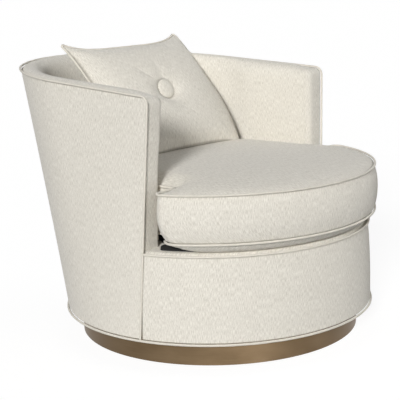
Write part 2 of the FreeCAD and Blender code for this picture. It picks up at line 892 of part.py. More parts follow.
def makeCushion():
    cloth = size("clothSheet")
    body = cushionSolid(0)
    shaped("cushion_cover", body.cut(cushionSolid(cloth)))
    shaped("cushion_core", cushionSolid(cloth + size("layGap")))
    off = size("weltOffset")
    radius = size("weltRadius")
    for label, level in (
        ("cushion_top_welt", size("cushionHigh") + off),
        ("cushion_bottom_welt", size("cushionLow") - off),
    ):
        shaped(label, pipe(cushionLoop(off, off, level), radius))


def makeZip():
    """The zip's tape, down the middle of the rear boxing."""
    splay = math.radians(size("cushionSplay"))
    length = size("cushionEar") + size("cushionRear")
    span = size("cushionNeck") * math.cos(splay) - length * math.sin(splay)
    rearRadius = span / (1 - math.sin(splay))
    centre = Vector(0, size("cushionRear") - rearRadius, size("zipMiddle") - size("zipWidth") / 2)
    inner = rearRadius + size("neckBulge") + size("layGap")
    angle = size("zipAngle")
    tapes = []
    for radius in (inner + size("zipSheet"), inner):
        tape = Part.makeCylinder(radius, size("zipWidth"), Vector(), Vector(0, 0, 1), angle)
        tapes.append(turned(tape, 90 - angle / 2).translated(centre))
    shaped("cushion_zip", tapes[0].cut(tapes[1]))


# The throw pillow, built lying flat about its own middle and then leaned on the back


def pillowLoop(share, inset, level):
    """A square with drawn-in sides and small round corners, at a share of its full size."""
    corner = size("pillowCorner")
    draw = size("pillowDraw") * share
    halfWidth = share * size("pillowWidth") / 2 - inset
    half = Vector(halfWidth, share * size("pillowHeight") / 2 - inset, 0)
    sideRadius = (half.y**2 + draw**2) / (2 * draw)
    topRadius = (half.x**2 + draw**2) / (2 * draw)
    sideCentre = Vector(half.x - draw + sideRadius, 0, level)
    topCentre = Vector(0, half.y - draw + topRadius, level)
    # a corner's centre lies one corner radius inside both of the long arcs that bend in beside it
    apart = topCentre - sideCentre
    sideReach = sideRadius + corner
    topReach = topRadius + corner
    along = (sideReach**2 - topReach**2 + apart.Length**2) / (2 * apart.Length)
    off = math.sqrt(sideReach**2 - along**2)
    unit = apart / apart.Length
    foot = sideCentre + unit * along
    centre = foot + Vector(-unit.y, unit.x, 0) * off
    onSide = centre + (sideCentre - centre).normalize() * corner
    onTop = centre + (topCentre - centre).normalize() * corner
    tip = centre + Vector(1, 1, 0).normalize() * corner
    edges = []
    quarters = [(1, 1), (-1, 1), (-1, -1), (1, -1)]
    for (x, y), (nextX, nextY) in zip(quarters, quarters[1:] + quarters[:1]):
        ends = [Vector(p.x * x, p.y * y, level) for p in (onSide, onTop)]
        first, last = ends if x * y > 0 else ends[::-1]
        edges.append(Part.Arc(first, Vector(tip.x * x, tip.y * y, level), last).toShape())
        onward = onTop if nextX != x else onSide
        middle = Vector(0, (half.y - draw) * y, level)
        if nextX == x:
            middle = Vector((half.x - draw) * x, 0, level)
        edges.append(Part.Arc(last, middle, Vector(onward.x * nextX, onward.y * nextY, level)).toShape())
    return Part.Wire(edges)


def tuft(inset):
    """What the button draws in on the front: a flat seat with a flared side."""
    half = size("pillowHalf")
    floor = half - size("tuftDepth") - inset
    seat = size("buttonRadius") + 1 + inset
    lip = size("tuftRadius") + inset
    flare = size("tuftFlare")
    side = Part.Arc(
        Vector(seat, 0, floor),
        Vector(seat + (1 - flare) * (lip - seat), 0, floor + flare * (half - floor)),
        Vector(lip, 0, half + 1),
    ).toShape()
    top = half + 1
    corners = [Vector(lip, 0, top), Vector(0, 0, top), Vector(0, 0, floor), Vector(seat, 0, floor)]
    loop = Part.Wire([side] + [line(a, b) for a, b in zip(corners, corners[1:])])
    hollow = Part.Face(loop).revolve(Vector(), Vector(0, 0, 1), 360)
    return hollow.translated(Vector(0, -size("tuftDrop"), 0))


def pillowSolid(inset):
    half = size("pillowHalf") - inset
    edge = size("pillowEdge")
    band = Part.makeLoft([pillowLoop(1, inset, -edge), pillowLoop(1, inset, edge)], True, True)
    steps = [(1, edge / half), (0.93, 0.33), (0.78, 0.63), (0.52, 0.87), (0.27, 1)]
    loops = [pillowLoop(share, inset, half * rise) for share, rise in steps]
    front = Part.makeLoft(loops, True, inset > 0)
    back = front.mirror(Vector(), Vector(0, 0, 1))
    whole = band.multiFuse([front, back])
    dent = tuft(inset)
    return whole.cut(dent).cut(dent.mirror(Vector(), Vector(0, 0, 1)))


def pillowPlace():
    lean = Rotation(Vector(1, 0, 0), 90 - size("pillowLean"))
    turn = Rotation(Vector(0, 0, 1), -size("pillowTurn"))
    middle = Vector(size("pillowAside"), size("pillowBack"), size("pillowUp"))
    return Placement(middle, turn.multiply(lean))


def makePillow():
    gap = size("layGap")
    cloth = size("clothSheet")
    drop = Vector(0, -size("tuftDrop"), 0)
    seat = size("pillowHalf") - size("tuftDepth") + size("boltGap")
    cord = size("cordRadius")
    hole = Part.makeCylinder(cord + gap, 2 * size("pillowHalf"), drop - Vector(0, 0, size("pillowHalf")))
    cover = pillowSolid(0).cut(pillowSolid(cloth)).cut(hole)
    fill = pillowSolid(cloth + gap).cut(hole)
    loop = pillowLoop(1, -size("weltRadius") - gap, 0)
    radius = size("buttonRadius")
    rim = seat + size("buttonEdge")
    rise = size("buttonDome")
    dome = rim + rise
    # the dome is part of a ball whose centre lies on the button's axis
    ball = (radius**2 + rise**2) / (2 * rise)
    half = math.asin(radius / ball) / 2
    middle = Vector(ball * math.sin(half), 0, dome - ball * (1 - math.cos(half)))
    crown = Part.Arc(Vector(radius, 0, rim), middle, Vector(0, 0, dome)).toShape()
    corners = [Vector(0, 0, dome), Vector(0, 0, seat), Vector(radius - 1, 0, seat)]
    corners.append(Vector(radius, 0, rim))
    face = Part.Face(Part.Wire([crown] + [line(a, b) for a, b in zip(corners, corners[1:])]))
    button = face.revolve(Vector(), Vector(0, 0, 1), 360).translated(drop)
    shapes = {
        "pillow_cover": cover,
        "pillow_fill": fill,
        "pillow_welt": pipe(loop, size("weltRadius")),
        "pillow_front_button": button,
        "pillow_back_button": button.mirror(Vector(), Vector(0, 0, 1)),
        "pillow_cord": Part.makeCylinder(cord, 2 * seat, drop - Vector(0, 0, seat)),
    }
    for label, shape in shapes.items():
        shaped(label, shape).Placement = pillowPlace().multiply(shape.Placement)


makePlinth()
makeBlocks()
makeSwivelPlate("swivel_lower_plate", False)
makeSwivelPlate("swivel_upper_plate", True)
makeBalls()
makeBolts()
makePivot()
makeSeatBoards()
makeDeckPosts()
makeStraps()
makeCovers()
makeArmFronts()
makeFrame()
makeApron()
makeDeck()
makeWelts()
makeCushion()
makeZip()
makePillow()
doc.recompute()

for thing in doc.Objects:
    if "Invalid" in thing.State or "Error" in thing.State:
        raise SystemExit(f"{thing.Label} failed: {thing.State}")
for thing in nodes:
    if thing.Shape.isNull() or not thing.Shape.isValid() or not thing.Shape.Solids:
        raise SystemExit(f"{thing.Label} has no valid solid")

os.makedirs("parts", exist_ok=True)
for thing in nodes:
    thing.Shape.exportStep(f"parts/{thing.Label}.step")
    print(f"{thing.Label}: {len(thing.Shape.Solids)} solids, {thing.Shape.Volume / 1000:.1f} cm3")
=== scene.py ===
import json
import math

import bmesh
import bpy
from mathutils import Matrix, Vector, noise
from mathutils.bvhtree import BVHTree


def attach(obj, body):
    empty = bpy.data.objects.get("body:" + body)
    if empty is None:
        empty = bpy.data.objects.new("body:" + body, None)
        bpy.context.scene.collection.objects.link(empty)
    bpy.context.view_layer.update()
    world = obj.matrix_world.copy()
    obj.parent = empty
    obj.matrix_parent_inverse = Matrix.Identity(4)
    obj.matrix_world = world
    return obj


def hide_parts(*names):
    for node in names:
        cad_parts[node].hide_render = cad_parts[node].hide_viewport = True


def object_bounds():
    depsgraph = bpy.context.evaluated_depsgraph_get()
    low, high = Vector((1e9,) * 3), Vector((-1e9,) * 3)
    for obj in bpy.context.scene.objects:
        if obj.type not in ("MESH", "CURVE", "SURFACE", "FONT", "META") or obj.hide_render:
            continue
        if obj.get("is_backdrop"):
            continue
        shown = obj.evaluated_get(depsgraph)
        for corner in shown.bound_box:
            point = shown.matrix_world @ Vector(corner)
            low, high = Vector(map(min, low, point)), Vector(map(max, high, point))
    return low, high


# Lengths in the dictionaries are in millimetres and turn into metres as each mesh is made.

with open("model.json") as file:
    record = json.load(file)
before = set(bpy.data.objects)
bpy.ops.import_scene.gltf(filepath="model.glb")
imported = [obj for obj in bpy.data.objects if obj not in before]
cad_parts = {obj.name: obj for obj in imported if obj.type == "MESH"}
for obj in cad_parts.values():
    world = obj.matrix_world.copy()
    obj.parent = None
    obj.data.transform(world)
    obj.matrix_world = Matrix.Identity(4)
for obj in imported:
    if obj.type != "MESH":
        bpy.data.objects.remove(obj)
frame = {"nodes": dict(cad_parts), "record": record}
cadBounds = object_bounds()
nodes = frame["nodes"]
scene = bpy.context.scene
scene.view_settings.view_transform = "Standard"
print("frame loaded")


# Nodes


def addNode(tree, kind, inputs=None, output=0, **settings):
    # adds a node with its settings, sets or links its inputs, and gives one of its outputs back
    node = tree.nodes.new(kind)
    for key, value in settings.items():
        setattr(node, key, value)
    for key, value in (inputs or {}).items():
        if isinstance(value, bpy.types.NodeSocket):
            tree.links.new(value, node.inputs[key])
        else:
            node.inputs[key].default_value = value
    return node.outputs[output] if node.outputs else None


def seenDirectly(tree):
    # 1 for what the camera, a mirror or glass shows
    share = 0
    for kind in ("Is Camera Ray", "Is Glossy Ray", "Is Transmission Ray"):
        path = addNode(tree, "ShaderNodeLightPath", output=kind)
        share = addNode(tree, "ShaderNodeMath", {0: share, 1: path}, operation="MAXIMUM")
    return share


def linear(hexText):
    values = []
    for i in (1, 3, 5):
        share = int(hexText[i : i + 2], 16) / 255
        values.append(share / 12.92 if share <= 0.04045 else ((share + 0.055) / 1.055) ** 2.4)
    return (*values, 1)


white = linear("#FFFFFF")


# Camera, light and floor

camera = {
    "place": (-2.4244, -1.8943, 1.0052),  # metres
    "back": (-0.7702, -0.6018, 0.2115),
    "roll": -1.566,
    "lens": 102.67,
    "sensor": 36,
    "shift": (-0.0422, 0.0033),
}


def makeCamera():
    data = bpy.data.cameras.new("camera")
    data.lens = camera["lens"]
    data.sensor_width = camera["sensor"]
    data.sensor_fit = "HORIZONTAL"
    data.shift_x, data.shift_y = camera["shift"]
    eye = bpy.data.objects.new("camera", data)
    scene.collection.objects.link(eye)
    back = Vector(camera["back"]).normalized()
    right = Vector((0, 0, 1)).cross(back).normalized()
    up = back.cross(right)
    turn = Matrix((right, up, back)).transposed().to_4x4()
    roll = Matrix.Rotation(math.radians(camera["roll"]), 4, "Z")
    eye.matrix_world = Matrix.Translation(camera["place"]) @ turn @ roll
    scene.camera = eye


light = {
    "key": {"towards": (-0.857, -0.4, 0.345), "strength": 2.85, "spread": 12},
    "fill": {"towards": (0.8, -0.58, 0.17), "strength": 1.15, "spread": 60},
    "reflector": {"towards": (-0.42, -0.9, 0.1), "strength": 4.0, "spread": 34},
    "ambient": 0.175,
}


def makeLamp(name):
    lamp = bpy.data.lights.new(name, "SUN")
    lamp.energy = light[name]["strength"]
    lamp.angle = math.radians(light[name]["spread"])
    holder = bpy.data.objects.new(name, lamp)
    holder.rotation_euler = Vector(light[name]["towards"]).to_track_quat("Z", "Y").to_euler()
    scene.collection.objects.link(holder)
    return holder


def makeLight():
    makeLamp("key")
    makeLamp("fill")
    makeLamp("reflector").visible_diffuse = False  # a strip in front that only the metal shows
    world = bpy.data.worlds.new("studio")
    world.use_nodes = True
    tree = world.node_tree
    tree.nodes.clear()
    lit = addNode(tree, "ShaderNodeBackground", {"Color": white, "Strength": light["ambient"]})
    seen = addNode(tree, "ShaderNodeBackground", {"Color": white, "Strength": 1})
    mixed = addNode(tree, "ShaderNodeMixShader", {0: seenDirectly(tree), 1: lit, 2: seen})
    addNode(tree, "ShaderNodeOutputWorld", {"Surface": mixed})
    scene.world = world


ground = {
    "half": 30,  # metres
    "grey": 0.9,
    "glow": 1.12,  # as the camera sees it
    "glowOnChair": 0.24,
    "shadowShare": 0.2,
}


def floorSurface():
    # the pale studio floor: nearly all its own light, with a little of the chair's shadow kept
    material = bpy.data.materials.new("pale_studio_floor")
    material.use_nodes = True
    tree = material.node_tree
    tree.nodes.clear()
    matt = addNode(tree, "ShaderNodeBsdfDiffuse", {"Color": (*3 * [ground["grey"]], 1)})
    glow = addNode(tree, "ShaderNodeEmission", {"Color": white, "Strength": ground["glow"]})
    dim = addNode(tree, "ShaderNodeEmission", {"Color": white, "Strength": ground["glowOnChair"]})
    seen = addNode(tree, "ShaderNodeMixShader", {0: ground["shadowShare"], 1: glow, 2: matt})
    mixed = addNode(tree, "ShaderNodeMixShader", {0: seenDirectly(tree), 1: dim, 2: seen})
    addNode(tree, "ShaderNodeOutputMaterial", {"Surface": mixed})
    return material


def makeFloor():
    mesh = bpy.data.meshes.new("floor")
    half = ground["half"]
    corners = [(-half, -half, 0), (half, -half, 0), (half, half, 0), (-half, half, 0)]
    mesh.from_pydata(corners, [], [(0, 1, 2, 3)])
    mesh.materials.append(floorSurface())
    floor = bpy.data.objects.new("floor", mesh)
    scene.collection.objects.link(floor)
    floor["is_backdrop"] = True


makeCamera()
makeLight()
makeFloor()
print("studio made")


# Materials

# Each dictionary has the shader's own values, uneven patterns with their sizes, sine waves with the spacing of
# their yarns, and the shares of these in the tone between two colours and in the relief.

linenWeave = {
    # a matt linen weave: long upright slubs lighter and darker, a grid of yarns drawn as coarse as it needs to
    # show, faint mottling, and painted shade: a darker line along the seams and round the pillow's button
    "shader": {"Roughness": 0.92, "Sheen Weight": 0.22, "Sheen Roughness": 0.55, "Specular IOR Level": 0.25},
    "onWeave": True,
    "patterns": {
        "slub": {"size": (1.6, 12, 3), "detail": 2.5, "roughness": 0.6, "span": (0.34, 0.66)},
        "cross": {"size": (4.5, 1.7, 3), "roughness": 0.55, "span": (0.34, 0.66)},
        "mottle": {"size": (38, 46, 40)},
        "wobble": {"size": (6, 6, 6), "detail": 1},
    },
    "wave": {"spacing": {"X": 1.5, "Y": 1.7}, "bentBy": "wobble", "bend": 5},
    "tone": {"cross": 0.14, "slub": 0.68, "mottle": 0.16, "wave": 0.06},
    "colours": ("#C8C2B5", "#F8F4EA"),
    "relief": {"wave": 0.25, "slub": 0.5, "cross": 0.25},
    "depth": 0.45,
    "strength": 0.8,
    # painted shade: the colour of the darkening along seams and how strongly the point attribute applies it
    "paintedShade": {"colour": "#8F897C", "share": 0.75},
}
linenPiping = {
    # the same linen cut on the bias round a cord: fine slanting yarns, lighter where the cord stretches them
    "shader": {"Roughness": 0.9, "Sheen Weight": 0.2, "Sheen Roughness": 0.5, "Specular IOR Level": 0.25},
    "patterns": {"uneven": {"size": (5, 5, 5), "detail": 3}, "fine": {"size": (1.4, 1.4, 1.4)}},
    "wave": {"spacing": {"along": 1.7}, "bentBy": "uneven", "bend": 9},
    "tone": {"fine": 0.35, "uneven": 0.6, "wave": 0.06},
    "leastTone": 0.06,
    "colours": ("#CCC6B9", "#EBE6DB"),
    "relief": {"fine": 0.5, "wave": 0.25},
    "depth": 0.3,
    "strength": 0.7,
}
bronzeSheet = {
    # satin bronze sheet: fine lines run round the band, with faint cloudy patina over them
    "shader": {"Metallic": 0.85, "Roughness": 0.42},
    "patterns": {
        "brushed": {"size": (60, 60, 0.5), "detail": 3, "roughness": 0.6},
        "cloud": {"size": (90, 90, 40), "detail": 3},
    },
    "tone": {"cloud": 0.65, "brushed": 0.35},
    "span": (0.3, 0.7),
    "colours": ("#625039", "#715F48"),
    "relief": {"brushed": 1},
    "depth": 0.05,
    "strength": 0.5,
    "gloss": {"follows": "cloud", "from": 0.38, "to": 0.5},
}
sawnWood = {
    # pale sawn hardwood and plywood: long grain along one axis with darker late-wood lines
    "shader": {"Roughness": 0.7},
    "patterns": {
        "grain": {"size": (160, 9, 9), "detail": 4, "roughness": 0.6},
        "pore": {"size": (14, 0.8, 0.8)},
    },
    "tone": {"pore": 0.25, "grain": 0.75},
    "span": (0.35, 0.65),
    "colours": ("#A88154", "#D2B085"),
    "relief": {"pore": 1},
    "depth": 0.15,
    "strength": 0.6,
}
juteWebbing = {
    # stretched seat webbing: coarse crossing yarns over uneven fibre
    "shader": {"Roughness": 0.9},
    "patterns": {"fibre": {"size": (2, 2, 2), "detail": 3}},
    "wave": {"spacing": {"X": 3.2, "Y": 3.2}, "bentBy": "fibre", "bend": 0},
    "tone": {"fibre": 1, "wave": 0.25},
    "colours": ("#6E5A3A", "#B79B6C"),
    "relief": {"fibre": 1, "wave": 0.25},
    "depth": 0.4,
    "strength": 0.9,
}


def softLook(low, high, grain, depth):
    # felt, cambric, foam, filling and tape: a matt surface whose fibres show as fine uneven grain
    return {
        "shader": {"Roughness": 0.95},
        "patterns": {
            "fibre": {"size": grain, "detail": 4, "roughness": 0.65},
            "blotch": {"size": [12 * size for size in grain]},
        },
        "tone": {"blotch": 0.3, "fibre": 0.7},
        "span": (0.3, 0.7),
        "colours": (low, high),
        "relief": {"fibre": 1},
        "depth": depth,
        "strength": 0.8,
    }


def steelLook(low, high, roughness, grain, depth, metallic=1.0):
    # steel parts: powder coat has fine orange peel, zinc a cloudy grey bloom, and the balls are polished
    return {
        "shader": {"Metallic": metallic},
        "patterns": {
            "peel": {"size": (grain, grain, grain), "detail": 3},
            "bloom": {"size": (18, 18, 18), "detail": 3},
        },
        "tone": {"bloom": 1},
        "colours": (low, high),
        "relief": {"peel": 1},
        "depth": depth,
        "strength": 0.5,
        "gloss": {"follows": "bloom", "from": roughness - 0.05, "to": roughness + 0.08},
    }


def weigh(tree, found, shares, total=0):
    # patterns added up by their shares
    for key, share in shares.items():
        total = addNode(tree, "ShaderNodeMath", {0: found[key], 1: share, 2: total}, operation="MULTIPLY_ADD")
    return total


def findPatterns(tree, look):
    if look.get("onWeave"):
        place = addNode(tree, "ShaderNodeUVMap", uv_map="weave")
    else:
        place = addNode(tree, "ShaderNodeTexCoord", output="Object")
    found = {}
    for key, pattern in look["patterns"].items():
        factors = [1000 / size for size in pattern["size"]]
        scaled = addNode(tree, "ShaderNodeVectorMath", {0: place, 1: factors}, operation="MULTIPLY")
        inputs = {"Vector": scaled, "Scale": 1, "Detail": pattern.get("detail", 2)}
        inputs["Roughness"] = pattern.get("roughness", 0.5)
        found[key] = addNode(tree, "ShaderNodeTexNoise", inputs)
        if "span" in pattern:
            low, high = pattern["span"]
            found[key] = addNode(tree, "ShaderNodeMapRange", {0: found[key], 1: low, 2: high})
    if "wave" not in look:
        return found
    wave = look["wave"]
    shift = weigh(tree, found, {wave["bentBy"]: wave["bend"]})
    found["wave"] = 1
    for way, spacing in wave["spacing"].items():
        if way == "along":
            spot = addNode(tree, "ShaderNodeAttribute", output="Fac", attribute_name=way)
        else:
            spot = addNode(tree, "ShaderNodeSeparateXYZ", {0: place}, output=way)
        inputs = {0: spot, 1: 2000 * math.pi / spacing, 2: shift}
        phase = addNode(tree, "ShaderNodeMath", inputs, operation="MULTIPLY_ADD")
        yarns = addNode(tree, "ShaderNodeMath", {0: phase}, operation="SINE")
        found["wave"] = addNode(tree, "ShaderNodeMath", {0: found["wave"], 1: yarns}, operation="MULTIPLY")
    return found


def makeFinish(name, look):
    material = bpy.data.materials.new(name)
    material.use_nodes = True
    tree = material.node_tree
    shader = tree.nodes["Principled BSDF"]
    for key, value in look["shader"].items():
        shader.inputs[key].default_value = value
    found = findPatterns(tree, look)
    tone = weigh(tree, found, look["tone"], look.get("leastTone", 0))
    if "span" in look:
        low, high = look["span"]
        tone = addNode(tree, "ShaderNodeMapRange", {0: tone, 1: low, 2: high})
    dark, pale = map(linear, look["colours"])
    colour = addNode(tree, "ShaderNodeMix", {0: tone, 6: dark, 7: pale}, output=2, data_type="RGBA")
    # painted shade: the colour darkens towards the shade colour where the point attribute marks a seam
    if "paintedShade" in look:
        found["paintedShade"] = addNode(tree, "ShaderNodeAttribute", output="Fac", attribute_name="paintedShade")
        inputs = {0: weigh(tree, found, {"paintedShade": look["paintedShade"]["share"]}), 6: colour}
        inputs[7] = linear(look["paintedShade"]["colour"])
        colour = addNode(tree, "ShaderNodeMix", inputs, output=2, data_type="RGBA")
    relief = weigh(tree, found, look["relief"])
    inputs = {"Height": relief, "Distance": look["depth"] / 1000, "Strength": look["strength"]}
    tree.links.new(addNode(tree, "ShaderNodeBump", inputs), shader.inputs["Normal"])
    tree.links.new(colour, shader.inputs["Base Color"])
    if "gloss" in look:
        gloss = look["gloss"]
        inputs = {0: found[gloss["follows"]], 1: 0.3, 2: 0.7, 3: gloss["from"], 4: gloss["to"]}
        tree.links.new(addNode(tree, "ShaderNodeMapRange", inputs), shader.inputs["Roughness"])
    return material


linen = makeFinish("ivory_linen_weave", linenWeave)
piping = makeFinish("ivory_linen_piping", linenPiping)
cambric = makeFinish("black_cambric", softLook("#0D0D0E", "#1C1B1B", (0.7, 0.7, 2), 0.15))
finishes = {
    "upholstery": linen,
    "welt": piping,
    "lining": cambric,
    "bronze": makeFinish("satin_bronze_sheet", bronzeSheet),
    "frame_wood": makeFinish("sawn_pale_hardwood", sawnWood),
    "webbing": makeFinish("woven_jute_webbing", juteWebbing),
}
for slot, name, look in (
    ("felt_pad", "grey_wool_felt", softLook("#34312E", "#4A4743", (0.9, 0.9, 0.9), 0.3)),
    ("foam", "polyether_foam", softLook("#D9CFA9", "#EAE2C4", (2.2, 2.2, 2.2), 0.8)),
    ("filling", "polyester_fibre_filling", softLook("#E2E0D8", "#F2F1EC", (3, 3, 9), 1.2)),
    ("zip_tape", "ivory_zip_tape", softLook("#C3BDAF", "#D8D3C7", (0.8, 0.8, 1.2), 0.2)),
    ("black_steel", "black_powder_coated_steel", steelLook("#141414", "#1F1F1F", 0.5, 1.1, 0.08, 0.3)),
    ("bright_steel", "polished_ball_steel", steelLook("#B5B6B8", "#C9CACB", 0.16, 3, 0.01)),
    ("zinc_steel", "zinc_plated_steel", steelLook("#8F9192", "#B9BBBA", 0.38, 2, 0.03)),
):
    finishes[slot] = makeFinish(name, look)
for part in frame["record"]["subparts"]:
    holder = nodes[part["node"]]
    if not holder.material_slots:
        holder.data.materials.append(None)
    for place in holder.material_slots:
        place.material = finishes[part["material_slot"]]
print("materials made")


# Meshes


# how far from a seam the painted shade reaches, in millimetres
paintedShadeWidth = 2.3
farFromSeam = 9
nearSeam = [0, 0.5, 1.3, 2.4, 3.8, 6, 9.5, 15, 23]  # rows of points beside a seam


class Skin:
    # points and faces of one piece in millimetres, with the place in the weave for each face's corners and how
    # much painted shade each point near a seam gets
    def __init__(self):
        self.points, self.faces, self.weave, self.paintedShade = [], [], [], {}

    def add(self, points, seams=None):
        start = len(self.points)
        self.points += points
        # each point's distance from a seam sets how much painted shade it gets
        for i, distance in enumerate(seams or []):
            self.paintedShade[start + i] = math.exp(-((max(0, distance) / paintedShadeWidth) ** 2))
        return list(range(start, len(self.points)))

    def flat(self, corners):
        # the weave of a face as it lies flat
        return [(self.points[i].x, self.points[i].y) for i in corners]

    def face(self, corners, weave=None):
        self.faces.append(corners)
        self.weave.append(weave or self.flat(corners))

    def strip(self, low, high, lowWeave=None, highWeave=None, closed=True):
        lowWeave = lowWeave or self.flat(low + low[:1])
        highWeave = highWeave or self.flat(high + high[:1])
        for i in range(len(low) if closed else len(low) - 1):
            j = (i + 1) % len(low)
            weave = [lowWeave[i], lowWeave[i + 1], highWeave[i + 1], highWeave[i]]
            self.face([low[i], low[j], high[j], high[i]], weave)

    def shell(self, fronts, backs, weaves):
        # rows of front and back points closed all round into one sheet
        for i in range(len(fronts) - 1):
            self.strip(fronts[i], fronts[i + 1], weaves[i], weaves[i + 1], closed=False)
            self.strip(backs[i + 1], backs[i], weaves[i + 1], weaves[i], closed=False)
        for end in (0, -1):
            self.strip(fronts[end], backs[end], weaves[end], weaves[end], closed=False)
            front, back, weave = ([row[end] for row in rows] for rows in (fronts, backs, weaves))
            self.strip(front, back, weave, weave, closed=False)

    def fan(self, ring, tip):
        for i, j in zip(ring, ring[1:] + ring[:1]):
            self.face([i, j, tip])

    def zigzag(self, outer, inner):
        # triangles between two rings with different counts
        a = b = 0
        while a < len(outer) or b < len(inner):
            here, there = outer[a % len(outer)], inner[b % len(inner)]
            ahead = (a + 1) / len(outer) <= (b + 1) / len(inner)
            if b >= len(inner) or (a < len(outer) and ahead):
                a += 1
                corners = [here, outer[a % len(outer)], there]
            else:
                b += 1
                corners = [here, inner[b % len(inner)], there]
            self.face(corners)

    def fill(self, ring, centre, step, shape=lambda point, share: point, least=12):
        # closes a ring towards a centre with ever fewer points; shape lifts each point into place
        start = [self.points[i].copy() for i in ring]
        radius = sum((p - centre).length for p in start) / len(start)
        outer = ring
        rings = int(radius / step)
        for k in range(1, rings):
            share = 1 - k / rings
            count = max(least, int(len(ring) * share))
            points = []
            for i in range(count):
                spot = i * len(start) / count
                a, b = start[int(spot) % len(start)], start[(int(spot) + 1) % len(start)]
                edge = a.lerp(b, spot - int(spot))
                points.append(shape(centre + (edge - centre) * share, share))
            inner = self.add(points)
            self.zigzag(outer, inner)
            outer = inner
        self.fan(outer, self.add([shape(centre.copy(), 0)])[0])


def makePiece(name, skin, material=linen, place=None):
    mesh = bpy.data.meshes.new(name)
    move = place or Matrix.Identity(4)
    mesh.from_pydata([move @ (p / 1000) for p in skin.points], [], skin.faces)
    layer = mesh.uv_layers.new(name="weave")
    for polygon, weave in zip(mesh.polygons, skin.weave):
        for index, (u, v) in zip(polygon.loop_indices, weave):
            layer.data[index].uv = (u / 1000, v / 1000)
    # the painted seam shade is kept on the mesh as a point attribute
    marks = mesh.attributes.new("paintedShade", "FLOAT", "POINT")
    for index, value in skin.paintedShade.items():
        marks.data[index].value = value
    fixed = bmesh.new()
    fixed.from_mesh(mesh)
    bmesh.ops.recalc_face_normals(fixed, faces=fixed.faces)
    fixed.to_mesh(mesh)
    fixed.free()
    mesh.shade_smooth()
    mesh.materials.append(material)
    piece = bpy.data.objects.new(name, mesh)
    scene.collection.objects.link(piece)
    return piece


def handOver(piece, body, *replaced, slot="upholstery", fill=None):
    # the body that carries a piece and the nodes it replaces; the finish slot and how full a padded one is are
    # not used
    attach(piece, body)
    if replaced:
        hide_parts(*replaced)


def subdivide(piece):
    # adds one level of subdivision and keeps the result as the piece's own mesh
    modifier = piece.modifiers.new("smooth", "SUBSURF")
    modifier.levels = modifier.render_levels = 1
    graph = bpy.context.evaluated_depsgraph_get()
    mesh = bpy.data.meshes.new_from_object(piece.evaluated_get(graph), depsgraph=graph)
    piece.modifiers.clear()
    old = piece.data
    piece.data = mesh
    bpy.data.meshes.remove(old)
    mesh.name = piece.name
    mesh.shade_smooth()


filling = {"pressure": 4, "quality": 5, "stretch": 12, "bend": 0.4, "frames": 20}


def settle(piece, held, cap, shrink, floor=None):
    # fills the piece by cloth simulation; held: how firmly a point is sewn down, cap: how far one may go
    group = piece.vertex_groups.new(name="sewn")
    for index, weight in held.items():
        group.add([index], weight, "REPLACE")
    before = [v.co.copy() for v in piece.data.vertices]
    modifier = piece.modifiers.new("filling", "CLOTH")
    settings = modifier.settings
    settings.quality = filling["quality"]
    settings.vertex_group_mass = group.name
    settings.use_pressure = True
    settings.uniform_pressure_force = filling["pressure"]
    settings.shrink_min = shrink
    settings.tension_stiffness = settings.compression_stiffness = filling["stretch"]
    settings.bending_stiffness = filling["bend"]
    settings.effector_weights.gravity = 0
    modifier.point_cache.frame_start = 1
    modifier.point_cache.frame_end = filling["frames"]
    for number in range(1, filling["frames"] + 1):
        scene.frame_set(number)
    graph = bpy.context.evaluated_depsgraph_get()
    after = [v.co.copy() for v in piece.evaluated_get(graph).data.vertices]
    piece.modifiers.remove(modifier)
    piece.vertex_groups.remove(group)
    scene.frame_set(1)
    for vertex, start, end in zip(piece.data.vertices, before, after):
        step = end - start
        most = cap / 1000 * (1 - held.get(vertex.index, 0))
        if step.length and most > 0:
            step *= most * math.tanh(step.length / most) / step.length
            vertex.co = start + step
        if floor is not None:
            vertex.co.z = max(vertex.co.z, floor / 1000)


welts = {"radius": 3.05, "uneven": (0.94, 1.06), "noiseScale": 45, "sides": 12}


def pipeTree():
    # a tube along a path, a little uneven, that knows how far along it each point is
    tree = bpy.data.node_groups.new("welt_along_path", "GeometryNodeTree")
    face = tree.interface
    face.new_socket("Geometry", in_out="INPUT", socket_type="NodeSocketGeometry")
    radius = face.new_socket("Radius", in_out="INPUT", socket_type="NodeSocketFloat")
    finish = face.new_socket("Material", in_out="INPUT", socket_type="NodeSocketMaterial")
    face.new_socket("Geometry", in_out="OUTPUT", socket_type="NodeSocketGeometry")
    start = addNode(tree, "NodeGroupInput").node.outputs
    path = addNode(tree, "GeometryNodeMeshToCurve", {"Mesh": start[0]})
    spot = addNode(tree, "GeometryNodeSplineParameter", output="Length")
    inputs = {"Geometry": path, "Name": "along", "Value": spot}
    path = addNode(tree, "GeometryNodeStoreNamedAttribute", inputs, data_type="FLOAT", domain="POINT")
    uneven = addNode(tree, "ShaderNodeTexNoise", {"Scale": welts["noiseScale"], "Detail": 1})
    low, high = welts["uneven"]
    widen = addNode(tree, "ShaderNodeMapRange", {"Value": uneven, "To Min": low, "To Max": high})
    path = addNode(tree, "GeometryNodeSetCurveRadius", {"Curve": path, "Radius": widen})
    inputs = {"Resolution": welts["sides"], "Radius": start[1]}
    ring = addNode(tree, "GeometryNodeCurvePrimitiveCircle", inputs)
    inputs = {"Curve": path, "Profile Curve": ring, "Fill Caps": True}
    tube = addNode(tree, "GeometryNodeCurveToMesh", inputs)
    if "Scale" in tube.node.inputs:
        tree.links.new(widen, tube.node.inputs["Scale"])
    tube = addNode(tree, "GeometryNodeSetShadeSmooth", {"Geometry": tube})
    tube = addNode(tree, "GeometryNodeRealizeInstances", {"Geometry": tube})
    tube = addNode(tree, "GeometryNodeSetMaterial", {"Geometry": tube, "Material": start[2]})
    addNode(tree, "NodeGroupOutput", {0: tube})
    return tree, radius.identifier, finish.identifier


weltTree = pipeTree()


